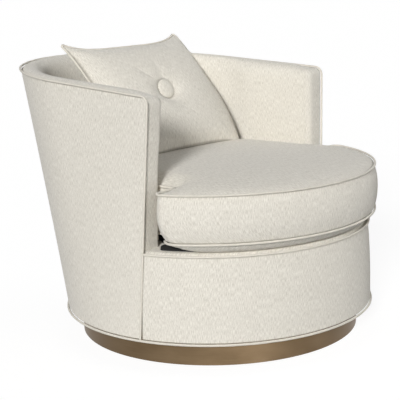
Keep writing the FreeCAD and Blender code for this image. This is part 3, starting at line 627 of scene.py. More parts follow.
def makeWelt(name, path, body, node, closed=True, place=None):
    move = place or Matrix.Identity(4)
    mesh = bpy.data.meshes.new(name)
    count = len(path)
    edges = [(i, i + 1) for i in range(count - 1)] + ([(count - 1, 0)] if closed else [])
    mesh.from_pydata([move @ (p / 1000) for p in path], edges, [])
    piece = bpy.data.objects.new(name, mesh)
    scene.collection.objects.link(piece)
    tree, radiusSocket, finishSocket = weltTree
    modifier = piece.modifiers.new("welt", "NODES")
    modifier.node_group = tree
    modifier[radiusSocket] = welts["radius"] / 1000
    modifier[finishSocket] = piping
    graph = bpy.context.evaluated_depsgraph_get()
    tube = bpy.data.meshes.new_from_object(piece.evaluated_get(graph), depsgraph=graph)
    piece.modifiers.clear()
    piece.data = tube
    bpy.data.meshes.remove(mesh)
    tube.name = name
    handOver(piece, body, node, slot="welt")
    return piece


def roll(distance, radius=3.2):
    # how far a face has turned in at a distance from the seam that it is sewn to
    if distance >= radius:
        return 0
    return radius - math.sqrt(max(0, radius**2 - (radius - max(0, distance)) ** 2))


def ruffle(point, distance, reach=22, height=0.7, wave=24):
    # small uneven pulls that fade away from a seam
    fade = math.exp(-max(0, distance) / reach)
    return height * fade * noise.noise(point / wave)


def polar(radius, angle, level=0):
    return Vector((radius * math.cos(angle), radius * math.sin(angle), level))


def lineOf(start, end, count):
    return [start.lerp(end, i / count) for i in range(count)]


def smooth(share):
    share = min(1, max(0, share))
    return share * share * (3 - 2 * share)


def steps(low, high, size):
    count = max(1, round((high - low) / size))
    return [low + (high - low) * i / count for i in range(count + 1)]


def lengthsOf(points, closed=False):
    total, result = 0.0, [0.0]
    for a, b in zip(points, points[1:] + (points[:1] if closed else [])):
        total += (b - a).length
        result.append(total)
    return result



# The shell's surfaces, the same as the frame's: round at the hem, a sloping U at the rim

shell = {
    "hemHeight": 71.5,
    "hemRadius": 419,
    "hemSplit": 22,
    "armFront": 68,
    "rimRadius": 366,
    "rimCentre": 214,
    "rimFront": 96,
    "rimHeight": 680.2,
    "rimTilt": math.radians(3.72),
    "armSplay": math.radians(3),
    "wallHem": 86,
    "wallRim": 46,
    "armRun": 290,  # about how far an arm goes back, and from there to the middle of the back
    "backRun": 530,
    "cornerRadius": 19,
    "seamDepth": 3.6,
    "fill": 0.9,
}


def hemPoint(u, inset, setback=0):
    radius = shell["hemRadius"] - inset
    low = math.degrees(math.asin((setback - shell["armFront"]) / radius))
    split = shell["hemSplit"]
    stops = [low, split, 90, 180 - split, 180 - low]
    i = min(int(u), 3)
    angle = math.radians(stops[i] + (stops[i + 1] - stops[i]) * (u - i))
    return polar(radius, angle, shell["hemHeight"])


def rimPoint(u, inset, setback=0, lift=0):
    splay, centre, tilt = shell["armSplay"], shell["rimCentre"], shell["rimTilt"]
    radius = shell["rimRadius"] - inset
    cornerUp = setback - shell["rimFront"]
    cornerAcross = (radius - (cornerUp - centre) * math.sin(splay)) / math.cos(splay)
    meetAcross, meetUp = radius * math.cos(splay), centre + radius * math.sin(splay)
    side = u if u <= 2 else 4 - u
    if side <= 1:
        x = cornerAcross + (meetAcross - cornerAcross) * side
        y = cornerUp + (meetUp - cornerUp) * side
    else:
        angle = splay + (math.pi / 2 - splay) * (side - 1)
        x, y = radius * math.cos(angle), centre + radius * math.sin(angle)
    x = x if u <= 2 else -x
    up = y * math.cos(tilt) - lift * math.sin(tilt)
    return Vector((x, up, shell["rimHeight"] + y * math.sin(tilt) + lift * math.cos(tilt)))


def wallLength(u, setback=0):
    return (rimPoint(u, 0, setback) - hemPoint(u, 0, setback)).length


def wallThick(share):
    return shell["wallRim"] + (shell["wallHem"] - shell["wallRim"]) * share


def shellPoint(u, inset, drop, setback=0):
    # a point by its way round, its inset from the outer face and its drop below the rim
    share = drop / wallLength(u, setback)
    depth = inset / wallThick(share)
    top = rimPoint(u, shell["wallRim"] * depth, setback)
    foot = hemPoint(u, shell["wallHem"] * depth, setback)
    return top + (foot - top) * share


def dropAt(u, level, setback=0):
    top, foot = rimPoint(u, 0, setback), hemPoint(u, 0, setback)
    return (top.z - level) / (top.z - foot.z) * (top - foot).length


def shellColumns(step=8):
    first = [d / shell["armRun"] for d in nearSeam] + steps(30 / shell["armRun"], 1, step / shell["armRun"])
    half = first + steps(1, 2, step / shell["backRun"])[1:]
    return half + [4 - u for u in half[::-1][1:]]


def cornerRound(setback, drop):
    # where the arm's upper front corner is cut off round
    radius = shell["cornerRadius"]
    if setback >= radius or drop >= radius:
        return setback, drop
    out = Vector((setback - radius, drop - radius))
    if out.length <= radius:
        return setback, drop
    out *= radius / out.length
    return radius + out.x, radius + out.y


outside = {
    "inner": 4.8,  # insets of the back of the cover
    "rows": 13,
    "frontLine": (330, 99),  # how far back one step round an arm goes at the rim, and how much less at the hem
}


def makeOutsideCover():
    columns = shellColumns()
    skin = Skin()
    fronts, backs, weaves = [], [], []
    total = wallLength(2)
    upper = nearSeam + steps(32, total / 2, outside["rows"])
    shares = [d / total for d in upper] + [1 - d / total for d in upper[::-1][1:]]
    around = lengthsOf([shellPoint(u, 0, 200) for u in columns])
    for share in shares:
        line = outside["frontLine"][0] - outside["frontLine"][1] * share
        front, back, weave, seams = [], [], [], []
        for u, run in zip(columns, around):
            length = wallLength(u)
            drop = share * length
            setback = line * min(u, 4 - u) if min(u, 4 - u) < 1 else math.inf
            edge = min(drop, length - drop, setback)
            nearSetback, nearDrop = cornerRound(setback, drop)
            at = u
            if setback < shell["cornerRadius"]:
                at = nearSetback / line if u < 2 else 4 - nearSetback / line
            turned = min(shell["seamDepth"], roll(drop) + roll(length - drop) + roll(setback))
            spot = shellPoint(at, 0, nearDrop)
            turned -= ruffle(spot, edge) if edge > 3 else 0
            front.append(shellPoint(at, turned, nearDrop))
            back.append(shellPoint(at, outside["inner"], max(nearDrop, 1)))
            weave.append((run, -drop))
            seams.append(edge)
        fronts.append(skin.add(front, seams))
        backs.append(skin.add(back))
        weaves.append(weave)
    skin.shell(fronts, backs, weaves)
    piece = makePiece("outside_back_cover", skin)
    handOver(piece, "chair", "outside_cover", fill=shell["fill"])


lining = {
    "start": 14.2,  # behind the arm front panels
    "foot": 262,
    "bulge": 16,  # at the rim, fading out at seat level
    "bulgeDrop": 230,
    "leanedOn": 1.2,  # where the pillow leans, on the way round from 0 to 4, how far to each side, and the fade
    "leanedHalf": 0.25,
    "leanedFade": 0.35,
    "roll": (19, 26),  # beside the arm fronts, and all the rest of the way round
    "apex": (43, 28),
    "lip": [(5.4, 13.5), (5.2, 7.0), (1.4, 4.2), (1.7, 2.2), (2.8, 0.9), (4.8, 0.2)],
    # distances from the welt seam that set the painted shade along the lip
    "lipSeams": [0, 0, 0.5, 1, 1.6, 2.4],
    "topCrown": 8,
    "topFade": 60,  # how far from the arm fronts the crown and the face are at their full height
    "faceFade": 80,
    "faceCrown": 2.0,
    "thickRim": 16,
    "thickHem": 28,
    "faceRows": 26,
    "backRows": (1, 0.75, 0.5, 0.25, 0.06),  # shares of the way down, from the foot up
    "backTop": 14,
}


def armFade(u, reach=lining["faceFade"]):
    # nothing beside the arm fronts, all from the given millimetres on
    return smooth(min(u, 4 - u) * shell["armRun"] / reach)


def bulgeAt(drop, u=0):
    # the padding stands inwards at the rim, but not from the seat down or where the pillow leans on it
    pressed = smooth((abs(u - lining["leanedOn"]) - lining["leanedHalf"]) / lining["leanedFade"])
    return lining["bulge"] * (1 - smooth(drop / lining["bulgeDrop"])) * pressed


def liningSection(u):
    # the cut through the rim's top and the inside pad, as insets and drops
    start = lining["start"]
    fade = armFade(u, lining["topFade"])
    bend = lining["roll"][0] + (lining["roll"][1] - lining["roll"][0]) * fade
    apex = lining["apex"][0] + (lining["apex"][1] - lining["apex"][0]) * fade
    crown = lining["topCrown"] * fade
    width = shell["wallRim"] + bulgeAt(0, u)
    total = wallLength(u, start)
    bottom = dropAt(u, lining["foot"], start)
    spots = list(lining["lip"])  # tucked in beside the welt
    lipInset, lipDrop = spots[-1]
    quarter = [math.pi / 2 * i / 7 for i in range(8)]
    for angle in quarter[1:-1]:
        spots.append((apex - (apex - lipInset) * math.cos(angle), lipDrop - (crown + lipDrop) * math.sin(angle)))
    for angle in quarter:
        spots.append((apex + (width - apex) * math.sin(angle), bend - (bend + crown) * math.cos(angle)))
    count = lining["faceRows"]
    rows = [bend + 4, bend + 10]
    rows += [bend + 20 + (bottom - bend - 20) * i / count for i in range(count + 1)]
    for drop in rows:
        share = drop / total
        swell = lining["faceCrown"] * armFade(u)
        swell *= math.sin(math.pi * min(1, (drop - bend) / (bottom - bend)))
        spots.append((wallThick(share) + swell + bulgeAt(drop, u), drop))
    for part in lining["backRows"]:
        drop = max(lining["backTop"], bottom * part)
        share = drop / total
        thick = lining["thickRim"] + (lining["thickHem"] - lining["thickRim"]) * share
        spots.append((wallThick(share) - thick, drop))
    return spots


def makeLining():
    start = lining["start"]
    columns = [0] + shellColumns()[5:-5] + [4]
    skin = Skin()
    around = lengthsOf([rimPoint(u, shell["wallRim"] / 2, start) for u in columns])
    rings, weaves = [], []
    for u, run in zip(columns, around):
        points = []
        for inset, drop in liningSection(u):
            point = shellPoint(u, inset, drop, start)
            if 0 < drop < 40 or inset > shell["wallRim"]:
                pull = ruffle(point, drop - 4, reach=30, height=0.5, wave=30) * armFade(u)
                point = shellPoint(u, inset + pull, drop, start)
            points.append(point)
        path = lengthsOf(points, closed=True)
        seams = lining["lipSeams"]
        rings.append(skin.add(points, seams + [farFromSeam] * (len(points) - len(seams))))
        weaves.append([(run, -w) for w in path])
    for i in range(len(columns) - 1):
        skin.strip(rings[i], rings[i + 1], weaves[i], weaves[i + 1])
    for ring, weave in ((rings[0], weaves[0]), (rings[-1], weaves[-1])):
        skin.face(ring, weave[: len(ring)])
    piece = makePiece("inside_back_and_rim", skin)
    handOver(piece, "chair", "inside_pad", "rim_top_panel", fill=shell["fill"])
    return piece


armFront = {
    "foot": 243,
    "round": 19,
    "crown": 1.2,
    "outer": 1.2,
    "edge": 3.4,
    "drops": [0, 0.8, 2, 3.5, 5.5, 9, 13, 19, 24],
    "setbacks": [0, 0.8, 2, 3.5, 5.5, 8, 11, 14],
    "near": [0, 0.6, 1.4, 2.6, 4, 6],  # insets from the outer edge, and from the inner edge
    "far": [18.5, 14, 10, 6, 2.7, 0],
    "middle": 6,
}


def armInsets(width):
    near, count = armFront["near"], armFront["middle"]
    free = width - 22 - near[-1]
    middle = [near[-1] + free * i / count for i in range(1, count + 1)]
    return [armFront["outer"] + x for x in near + middle + [width - d for d in armFront["far"]]]


def makeArmFront(name, node, mirrored):
    bend, outer, setbacks = armFront["round"], armFront["outer"], armFront["setbacks"]
    drops = armFront["drops"] + steps(32, dropAt(0, armFront["foot"]), 14)
    across = len(armInsets(shell["wallRim"]))
    deep, tall = len(setbacks), len(drops)
    skin = Skin()
    found, weaveAt = {}, {}

    def vertex(i, s, d):
        key = (i, s, d)
        if key in found:
            return found[key]
        drop, setback = drops[d], setbacks[s]
        width = wallThick(drop / wallLength(0)) + bulgeAt(drop) - outer
        inset = armInsets(width)[i]
        centre = Vector((min(inset, width + outer - bend), max(setback, bend), max(drop, bend)))
        out = Vector((inset, setback, drop)) - centre
        flat = math.hypot(out.x, out.z)
        most = math.sqrt(bend**2 - out.y**2) if s == deep - 1 else 0
        if s < deep - 1 and out.length > 1e-6:
            out *= bend / out.length
        elif flat > most > 0:
            out.x, out.z = out.x * most / flat, out.z * most / flat
        spot = centre + out
        if s == 0:
            bulge = math.sin(math.pi * (inset - outer) / width) * min(1, drop / 30)
            spot.y += roll(inset - outer, armFront["edge"]) - armFront["crown"] * bulge
            middle = shellPoint(0, inset, drop, setback)
            spot.y -= ruffle(middle, inset - outer, reach=14, height=0.5, wave=18)
        elif i == 0:
            spot.y = max(spot.y, armFront["edge"])
        point = shellPoint(0, spot.x, spot.z, spot.y)
        if mirrored:
            point.x = -point.x
        seam = 1.8 * (inset - outer) if s == 0 else farFromSeam
        found[key] = skin.add([point], [seam])[0]
        along = inset + (setback if i == across - 1 else 0)
        weaveAt[found[key]] = (along, -drop - (setback if d == 0 else 0))
        return found[key]

    def side(pick, first, second):
        for a in range(first - 1):
            for b in range(second - 1):
                corners = [pick(a, b), pick(a + 1, b), pick(a + 1, b + 1), pick(a, b + 1)]
                skin.face(corners, [weaveAt[c] for c in corners])

    for end in (0, deep - 1):
        side(lambda a, b: vertex(a, end, b), across, tall)
    for end in (0, across - 1):
        side(lambda a, b: vertex(end, a, b), deep, tall)
    for end in (0, tall - 1):
        side(lambda a, b: vertex(a, b, end), across, deep)
    piece = makePiece(name, skin)
    handOver(piece, "chair", node, fill=shell["fill"])


apron = {"top": 289, "topRadius": 413, "inner": 405.2, "bulge": 3, "beside": 5.4}


def makeApron():
    low, high = shell["hemHeight"], apron["top"]
    tall = high - low
    rows = nearSeam + steps(32, tall - 32, 14) + [tall - d for d in nearSeam[::-1]]
    skin = Skin()
    fronts, backs, weaves = [], [], []
    lean = (shell["rimFront"] - shell["armFront"]) / (shell["rimHeight"] - low)
    for rise in rows:
        share = rise / tall
        radius = shell["hemRadius"] + (apron["topRadius"] - shell["hemRadius"]) * share
        radius += apron["bulge"] * 4 * share * (1 - share)
        side = shell["armFront"] + lean * rise + apron["beside"]
        clear = math.asin(side / radius)
        half = math.pi / 2 - clear
        run = 2 * half * radius
        if not fronts:
            along = nearSeam + steps(32, run - 32, 9) + [run - d for d in nearSeam[::-1]]
            shape = [a / run for a in along]
        front, back, weave, seams = [], [], [], []
        for part in shape:
            a = part * run
            angle = -math.pi / 2 - half + a / radius
            edge = min(a, run - a, rise, tall - rise)
            depth = roll(rise) + roll(tall - rise) + roll(a, 4) + roll(run - a, 4)
            depth = min(shell["seamDepth"], depth)
            spot = polar(radius, angle, low + rise)
            depth -= ruffle(spot, edge) if edge > 3 else 0
            front.append(spot - polar(1, angle) * depth)
            back.append(polar(apron["inner"], angle, low + rise))
            weave.append((a, rise))
            seams.append(edge)
        fronts.append(skin.add(front, seams))
        backs.append(skin.add(back))
        weaves.append(weave)
    skin.shell(fronts, backs, weaves)
    piece = makePiece("apron_front_cover", skin)
    handOver(piece, "chair", "apron_cover", fill=shell["fill"])


deck = {
    "top": 297,
    "under": 248.2,
    "radius": 404.6,
    "round": 9,
    "gap": 0.5,
    "centre": -100,
    "arcSteps": 120,
    "wallSteps": 140,
    "lip": 20,
    # the thickness of the black sheet that paints the shade in the slot
    "cloth": 0.6,
    "clear": -143,  # how near the painted shade sheet comes to the arms along the slot
    "slot": (0.616, 0.788),  # the way that the slot is seen
}


def deckLoop(inward, level):
    # the deck's outline: an arc in front, ears before the arms, and the wall's inner face behind
    radius = deck["radius"] - inward
    share = 1 - dropAt(0, level) / wallLength(0)
    front = shell["armFront"] + (shell["rimFront"] - shell["armFront"]) * share + deck["gap"]
    across = math.sqrt(radius**2 - front**2)
    ear = math.atan2(-front, across)
    count = deck["arcSteps"]
    arc = [polar(radius, -math.pi - ear + (math.pi + 2 * ear) * i / count, level) for i in range(count + 1)]
    wall = []
    for i in range(deck["wallSteps"] + 1):
        u = 4 * i / deck["wallSteps"]
        drop = dropAt(u, level)
        inner = wallThick(drop / wallLength(u)) + deck["gap"] + inward
        point = shellPoint(u, inner, drop)
        wall.append(Vector((point.x, point.y, level)))
    right = [arc[-1].lerp(wall[0], i / 8) for i in range(1, 8)]
    left = [wall[-1].lerp(arc[0], i / 8) for i in range(1, 8)]
    return arc + right + wall + left


def makeDeck():
    skin = Skin()
    bend = deck["round"]
    rings = []
    levels = [(0.3, deck["under"]), (0, deck["under"] + 1), (0, deck["top"] - bend)]
    for i in range(1, 7):
        angle = math.pi / 2 * i / 6
        levels.append((bend * (1 - math.cos(angle)), deck["top"] - bend + bend * math.sin(angle)))
    for inward, level in levels:
        rings.append(skin.add(deckLoop(inward, level)))
    for low, high in zip(rings, rings[1:]):
        around = lengthsOf([skin.points[i] for i in low], closed=True)
        lowWeave = [(a, skin.points[low[0]].z) for a in around]
        highWeave = [(a, skin.points[high[0]].z) for a in around]
        skin.strip(low, high, lowWeave, highWeave)
    skin.fill(rings[-1], Vector((0, deck["centre"], deck["top"])), 24)
    skin.fill(rings[0][::-1], Vector((0, deck["centre"], deck["under"])), 40)
    handOver(makePiece("seat_deck", skin), "chair", "deck_pad", fill=1.0)


def makeDeckShadeSheet():
    # a black sheet inside the deck's linen lip: painted shade for what is seen through the slot under the
    # cushion
    skin = Skin()
    top = deck["top"] + 0.2
    across, up = deck["slot"]
    outline = []
    for p in deckLoop(deck["lip"], top):
        beyond = deck["clear"] + across * abs(p.x) + up * p.y
        x = abs(p.x) - max(0, beyond) / across * smooth(-p.y / 60)
        outline.append(Vector((math.copysign(x, p.x), p.y, top)))
    upper = skin.add(outline)
    lower = skin.add([p - Vector((0, 0, deck["cloth"])) for p in outline])
    around = lengthsOf([skin.points[i] for i in lower], closed=True)
    skin.strip(lower, upper, [(a, 0) for a in around], [(a, 1) for a in around])
    skin.fill(upper, Vector((0, deck["centre"], top)), 40)
    skin.fill(lower[::-1], Vector((0, deck["centre"], top - deck["cloth"])), 40)
    handOver(makePiece("deck_painted_shade_sheet", skin, cambric), "chair", slot="lining")


edging = {
    "off": 2.4,
    "corner": 21,
    "footUp": 1.6,
    "apronAside": 5.6,
    "step": 0.0175,  # radians round the rings
    "frontSteps": 60,
    "cornerSteps": 8,
    "armSteps": 40,
    "backSteps": 90,
}


def makeShellWelts():
    off, radius = edging["off"], edging["corner"]
    corner = rimPoint(0, -off, -off, off)
    foot = hemPoint(0, -off, -off)
    foot += (corner - foot).normalized() * edging["footUp"]
    meet = rimPoint(1, -off, -off, off)
    one, two = (foot - corner).normalized(), (meet - corner).normalized()
    half = one.angle(two) / 2
    start, end = (corner + way * (radius / math.tan(half)) for way in (one, two))
    middle = corner + (one + two).normalized() * (radius / math.sin(half))
    first, last = (start - middle).normalized(), (end - middle).normalized()
    run = lineOf(foot, start, edging["frontSteps"])
    count = edging["cornerSteps"]
    run += [middle + first.slerp(last, i / count) * radius for i in range(count + 1)]
    arm, back = steps(0, 1, 1 / edging["armSteps"]), steps(0, 1, 1 / edging["backSteps"])
    along = arm[4:] + [1 + v for v in back[1:]]
    run += [rimPoint(u, -off, -off, off) for u in along]
    path = run + [Vector((-p.x, p.y, p.z)) for p in run[::-1][1:]]
    makeWelt("rim_and_arm_welt", path, "chair", "rim_welt", closed=False)

    ring, level = shell["hemRadius"] + off, shell["hemHeight"] - off
    around = [polar(ring, a, level) for a in steps(0, 2 * math.pi, edging["step"])[:-1]]
    makeWelt("hem_edge_welt", around, "chair", "hem_welt")

    ring, level = apron["topRadius"] + off, apron["top"] + off
    beside = foot.lerp(corner, (level - foot.z) / (corner.z - foot.z))
    half = math.pi / 2 - math.asin((edging["apronAside"] - beside.y) / ring)
    around = [polar(ring, a, level) for a in steps(-math.pi / 2 - half, -math.pi / 2 + half, edging["step"])]
    makeWelt("apron_edge_welt", around, "chair", "apron_welt", closed=False)


makeOutsideCover()
insideBack = makeLining()
makeArmFront("left_arm_front_panel", "left_arm_front", False)
makeArmFront("right_arm_front_panel", "right_arm_front", True)
makeApron()
makeDeck()
makeDeckShadeSheet()
makeShellWelts()
print("shell covered")


# The loose seat cushion

seat = {
    "front": 430,
    "neck": 324,
    "ear": 127,
    "rear": 403,
    "splay": math.radians(3.7),
    "earRound": 18,
    "neckRound": 8,
    "low": 327.3,
    "high": 444.3,
    "bulge": 6,
    "neckBulge": 1,
    "crown": 24,
    "under": 30,
    "reach": (200, 60),
    "underReach": (46, 110),
    "dome": 3,
    "lowTip": 40,
    "rises": [0, 0.5, 1.3, 2.4, 3.8, 6, 10],  # rows beside the welts
    "insets": [3.4, 3.9, 5, 7, 10, 15, 21, 28, 36, 45, 55, 66, 78, 90],
    "cap": 4.5,
    "shrink": -0.012,
    "floor": 297.4,
    "welt": 2.2,
    "fill": 0.85,
}


def arcOf(centre, radius, start, end, count):
    angles = [start + (end - start) * i / count for i in range(count)]
    return [Vector(centre) + polar(radius, angle).xy for angle in angles]


def rearRound(ear, neck, rear):
    # the round of the cushion's back, between its splayed sides: its radius and its centre
    splay = seat["splay"]
    radius = (neck * math.cos(splay) - (ear + rear) * math.sin(splay)) / (1 - math.sin(splay))
    return radius, rear - radius


def seatLoop(front, side, level, tip=seat["earRound"]):
    # the T-shaped outline, grown by one amount in front and another at the arms and back
    splay = seat["splay"]
    ear, neck = seat["ear"] - side, seat["neck"] + side
    rearRadius, rearUp = rearRound(ear, neck, seat["rear"] + side)
    radius = seat["front"] + front
    hollow = seat["neckRound"]
    tipAcross = math.sqrt((radius - tip) ** 2 - (ear + tip) ** 2)
    tipUp = -ear - tip
    tipOut = math.atan2(tipUp, tipAcross)
    neckUp = hollow - ear
    neckAcross = (rearRadius + hollow - (neckUp - rearUp) * math.sin(splay)) / math.cos(splay)
    neckEnd = Vector((neckAcross - hollow * math.cos(splay), neckUp - hollow * math.sin(splay)))
    meet = Vector((rearRadius * math.cos(splay), rearUp + rearRadius * math.sin(splay)))
    right = arcOf((tipAcross, tipUp), tip, tipOut, math.pi / 2, 6)
    right += lineOf(Vector((tipAcross, -ear)), Vector((neckAcross, -ear)), 10)
    right += arcOf((neckAcross, neckUp), hollow, math.pi * 1.5, math.pi + splay, 6)
    right += lineOf(neckEnd, meet, 40)
    rearArc = arcOf((0, rearUp), rearRadius, splay, math.pi - splay, 110)
    last = Vector((-meet.x, meet.y))
    left = [Vector((-p.x, p.y)) for p in right[::-1]]
    frontArc = arcOf((0, 0), radius, math.pi - tipOut, 2 * math.pi + tipOut, 130)
    loop = right + rearArc + [last] + left + frontArc[1:]
    return [Vector((p.x, p.y, level)) for p in loop]


def fillShare(point, upper):
    # how full the cushion is there: the filling rises from the front welt and from the arms and back
    ahead = seat["front"] - math.hypot(point.x, point.y)
    rearRadius, rearUp = rearRound(seat["ear"], seat["neck"], seat["rear"])
    across = seat["neck"] - (point.y + seat["ear"]) * math.tan(seat["splay"]) - abs(point.x)
    forward = -seat["ear"] - point.y
    if point.y > rearUp:
        beside = rearRadius - math.hypot(point.x, point.y - rearUp)
    elif forward < 0:
        beside = across
    elif across < 0:
        beside = forward
    else:
        beside = math.hypot(across, forward)
    share = 1
    for distance, reach in zip((ahead, beside), seat["reach"] if upper else seat["underReach"]):
        share *= 1 - (1 - min(1, max(0, distance) / reach)) ** 2.5
    return share


def makeSeatCushion():
    low, high = seat["low"], seat["high"]
    tall = high - low
    skin = Skin()
    held = {}

    def ring(front, side, level, distance, sewn=0.0, tip=seat["earRound"]):
        loop = seatLoop(front, side, level, tip)
        found = skin.add(loop, [distance] * len(loop))
        for i in found:
            if sewn:
                held[i] = sewn
        return found

    rings = []
    rises = seat["rises"] + steps(17, tall - 17, 9) + [tall - d for d in seat["rises"][::-1]]
    for rise in rises:
        share = rise / tall
        swell = math.sin(math.pi * share) ** 0.8
        turned = roll(rise, 3) + roll(tall - rise, 3)
        sewn = 1.0 if turned > 0.6 else 0.0
        tip = seat["earRound"] + (seat["lowTip"] - seat["earRound"]) * (1 - share) ** 4
        front, side = seat["bulge"] * swell - turned, seat["neckBulge"] * swell - turned
        rings.append(ring(front, side, low + rise, min(rise, tall - rise), sewn, tip))
    around = lengthsOf([skin.points[i] for i in rings[len(rings) // 2]], closed=True)
    for a, b, lowRise, highRise in zip(rings, rings[1:], rises, rises[1:]):
        skin.strip(a, b, [(x, lowRise) for x in around], [(x, highRise) for x in around])
    for previous, level, height, upper in (
        (rings[-1], high, seat["crown"], True),
        (rings[0], low, -seat["under"], False),
    ):
        for inward in seat["insets"]:
            turned = roll(inward - 3, 2.6)
            sewn = 1.0 if turned > 0.6 else (0.0 if upper else 0.7)
            tip = seat["earRound"] if upper else seat["lowTip"]
            now = ring(-inward, -inward, level, inward - 3, sewn, tip)
            for i in now:
                rise = height * fillShare(skin.points[i], upper)
                skin.points[i].z = level + rise - (turned if upper else -turned)
            skin.strip(*((previous, now) if upper else (now, previous)))
            previous = now
        centre = Vector((0, -40, level + height))
        dome = seat["dome"] if upper else 0

        def shape(point, share):
            rise = height * fillShare(point, upper) + dome * (1 - share * share)
            return Vector((point.x, point.y, level + rise))

        before = len(skin.points)
        skin.fill(previous if upper else previous[::-1], centre, 11, shape)
        if not upper:
            for i in range(before, len(skin.points)):
                held[i] = 1.0
    piece = makePiece("seat_cushion", skin)
    settle(piece, held, seat["cap"], seat["shrink"], seat["floor"])
    subdivide(piece)
    handOver(piece, "cushion", "cushion_cover", "cushion_core", fill=seat["fill"])
    off = seat["welt"]
    makeWelt("cushion_upper_welt", seatLoop(off, off, high + off), "cushion", "cushion_top_welt")
    lower = seatLoop(off, off, low - off, seat["lowTip"])
    makeWelt("cushion_lower_welt", lower, "cushion", "cushion_bottom_welt")
    return piece


seatCushion = makeSeatCushion()
print("seat cushion made")


# The throw pillow

pillow = {
    "width": 450,
    "height": 430,
    "half": 52,
    "draw": (-7, 33, 14, 14),
    "corner": 13,
    "tuck": 54,
    "edge": 1.5,
    "place": (71.7, 260.7, 615),
    "lean": 45,
    "turn": 4.8,
    "tuftUp": -10,
    "tuftDepth": 18,
    "tuftSeat": 28,
    "tuftLip": 62,
    "tuftTilt": 19,
    "folds": ((-3.4, 82, 0.36), (-3.0, -84, 0.34)),  # height, degrees round the button, width in radians
    "squareness": 2.4,
    "buttonScale": 0.9,
    "buttonUp": 34,
    "shares": (0.995, 0.985, 0.97, 0.95, 0.925, 0.895, 0.86, 0.82, 0.775, 0.73),  # rings inwards from the edge
    "cap": 5,
    "shrink": -0.01,
    "welt": 2.9,
    "weltGap": 3.3,
    "gap": 0.2,
    "sinkMost": 30,  # how deep a point of the pillow may lie in the back before it is moved out
    "seatBelow": 500,
    "seatSearch": 700,
    "fill": 0.8,
}


def pillowPlace():
    turn = Matrix.Rotation(math.radians(-pillow["turn"]), 4, "Z")
    lean = Matrix.Rotation(math.radians(90 - pillow["lean"]), 4, "X")
    return Matrix.Translation(Vector(pillow["place"]) / 1000) @ turn @ lean


def pillowLoop(share, count=88):
    # a square with drawn-in sides and pointed corners
    wide, tall = share * pillow["width"] / 2, share * pillow["height"] / 2
    bend = pillow["corner"]
    points = []
    for side in range(4):
        for i in range(count):
            t = -1 + 2 * i / count
            t = math.sin(t * math.pi / 2) * 0.5 + t * 0.5
            draw = pillow["draw"][side] * share * (1 - abs(t) ** 4.5)
            right, top = (wide - draw, t * tall), (-t * wide, tall - draw)
            left, bottom = (draw - wide, -t * tall), (t * wide, draw - tall)
            p = Vector((right, top, left, bottom)[side])
            signX, signY = math.copysign(1, p.x), math.copysign(1, p.y)
            beyond = Vector((abs(p.x) - (wide - bend), abs(p.y) - (tall - bend)))
            if beyond.x > 0 and beyond.y > 0 and beyond.length > bend:
                beyond *= bend / beyond.length
                p = Vector((signX * (wide - bend + beyond.x), signY * (tall - bend + beyond.y)))
            points.append(p)
    return points


def tucked(point):
    # the lower right corner lies tucked in between the arm and the seat
    right = 0.5 + point.x / pillow["width"]
    low = 0.5 - point.y / pillow["height"]
    return Vector((point.x - pillow["tuck"] * right**2 * low**4, point.y, point.z))


def pillowRise(point):
    # the half thickness over the pillow's middle plane, with the dip round the button
    wide, tall = pillow["width"] / 2, pillow["height"] / 2
    across, up = min(1, abs(point.x) / wide), min(1, abs(point.y) / tall)
    wide -= pillow["draw"][0 if point.x > 0 else 2] * (1 - up**4.5)
    tall -= pillow["draw"][1 if point.y > 0 else 3] * (1 - across**4.5)
    across, up = min(1, abs(point.x) / wide), min(1, abs(point.y) / tall)
    square = pillow["squareness"]
    full = pillow["half"] * (1 - across**square) ** 0.5 * (1 - up**square) ** (0.5 if point.y > 0 else 0.4)
    out = Vector((point.x, point.y - pillow["tuftUp"]))
    reach = out.length
    angle = math.atan2(out.y, out.x)
    past = reach - pillow["tuftSeat"]
    dip, fold = 1, 0
    if past > 0:
        dip = math.exp(-((past / (0.55 * (pillow["tuftLip"] - pillow["tuftSeat"]))) ** 1.1))
        fade = math.exp(-past / 34) * min(1, past / 8)
        for height, way, width in pillow["folds"]:
            fold += height * fade * math.exp(-(((angle - math.radians(way)) / width) ** 2))
        fold -= 0.7 * fade * math.cos(3 * angle + 0.6)
    tilt = math.tan(math.radians(pillow["tuftTilt"])) * out.y * dip
    return full - pillow["tuftDepth"] * dip + fold + tilt


def treeOf(piece):
    return BVHTree.FromObject(piece, bpy.context.evaluated_depsgraph_get())


def clearOf(tree, spot, gap):
    # a place that would sink into a surface, moved out to the gap in millimetres
    near, normal = tree.find_nearest(spot, pillow["sinkMost"] / 1000)[:2]
    if near and (spot - near).dot(normal) < gap / 1000:
        return near + normal * gap / 1000
    return spot


def restOn(piece, back, under):
    # where the pillow would sink into the back or the seat it lies flat on it instead
    gap = pillow["gap"] / 1000
    for vertex in piece.data.vertices:
        spot = clearOf(back, vertex.co, pillow["gap"])
        if spot.z < pillow["seatBelow"] / 1000:
            above = Vector((spot.x, spot.y, pillow["seatSearch"] / 1000))
            hit = under.ray_cast(above, Vector((0, 0, -1)))[0]
            if hit and spot.z < hit.z + gap:
                spot.z = hit.z + gap
        vertex.co = spot
    piece.data.update()


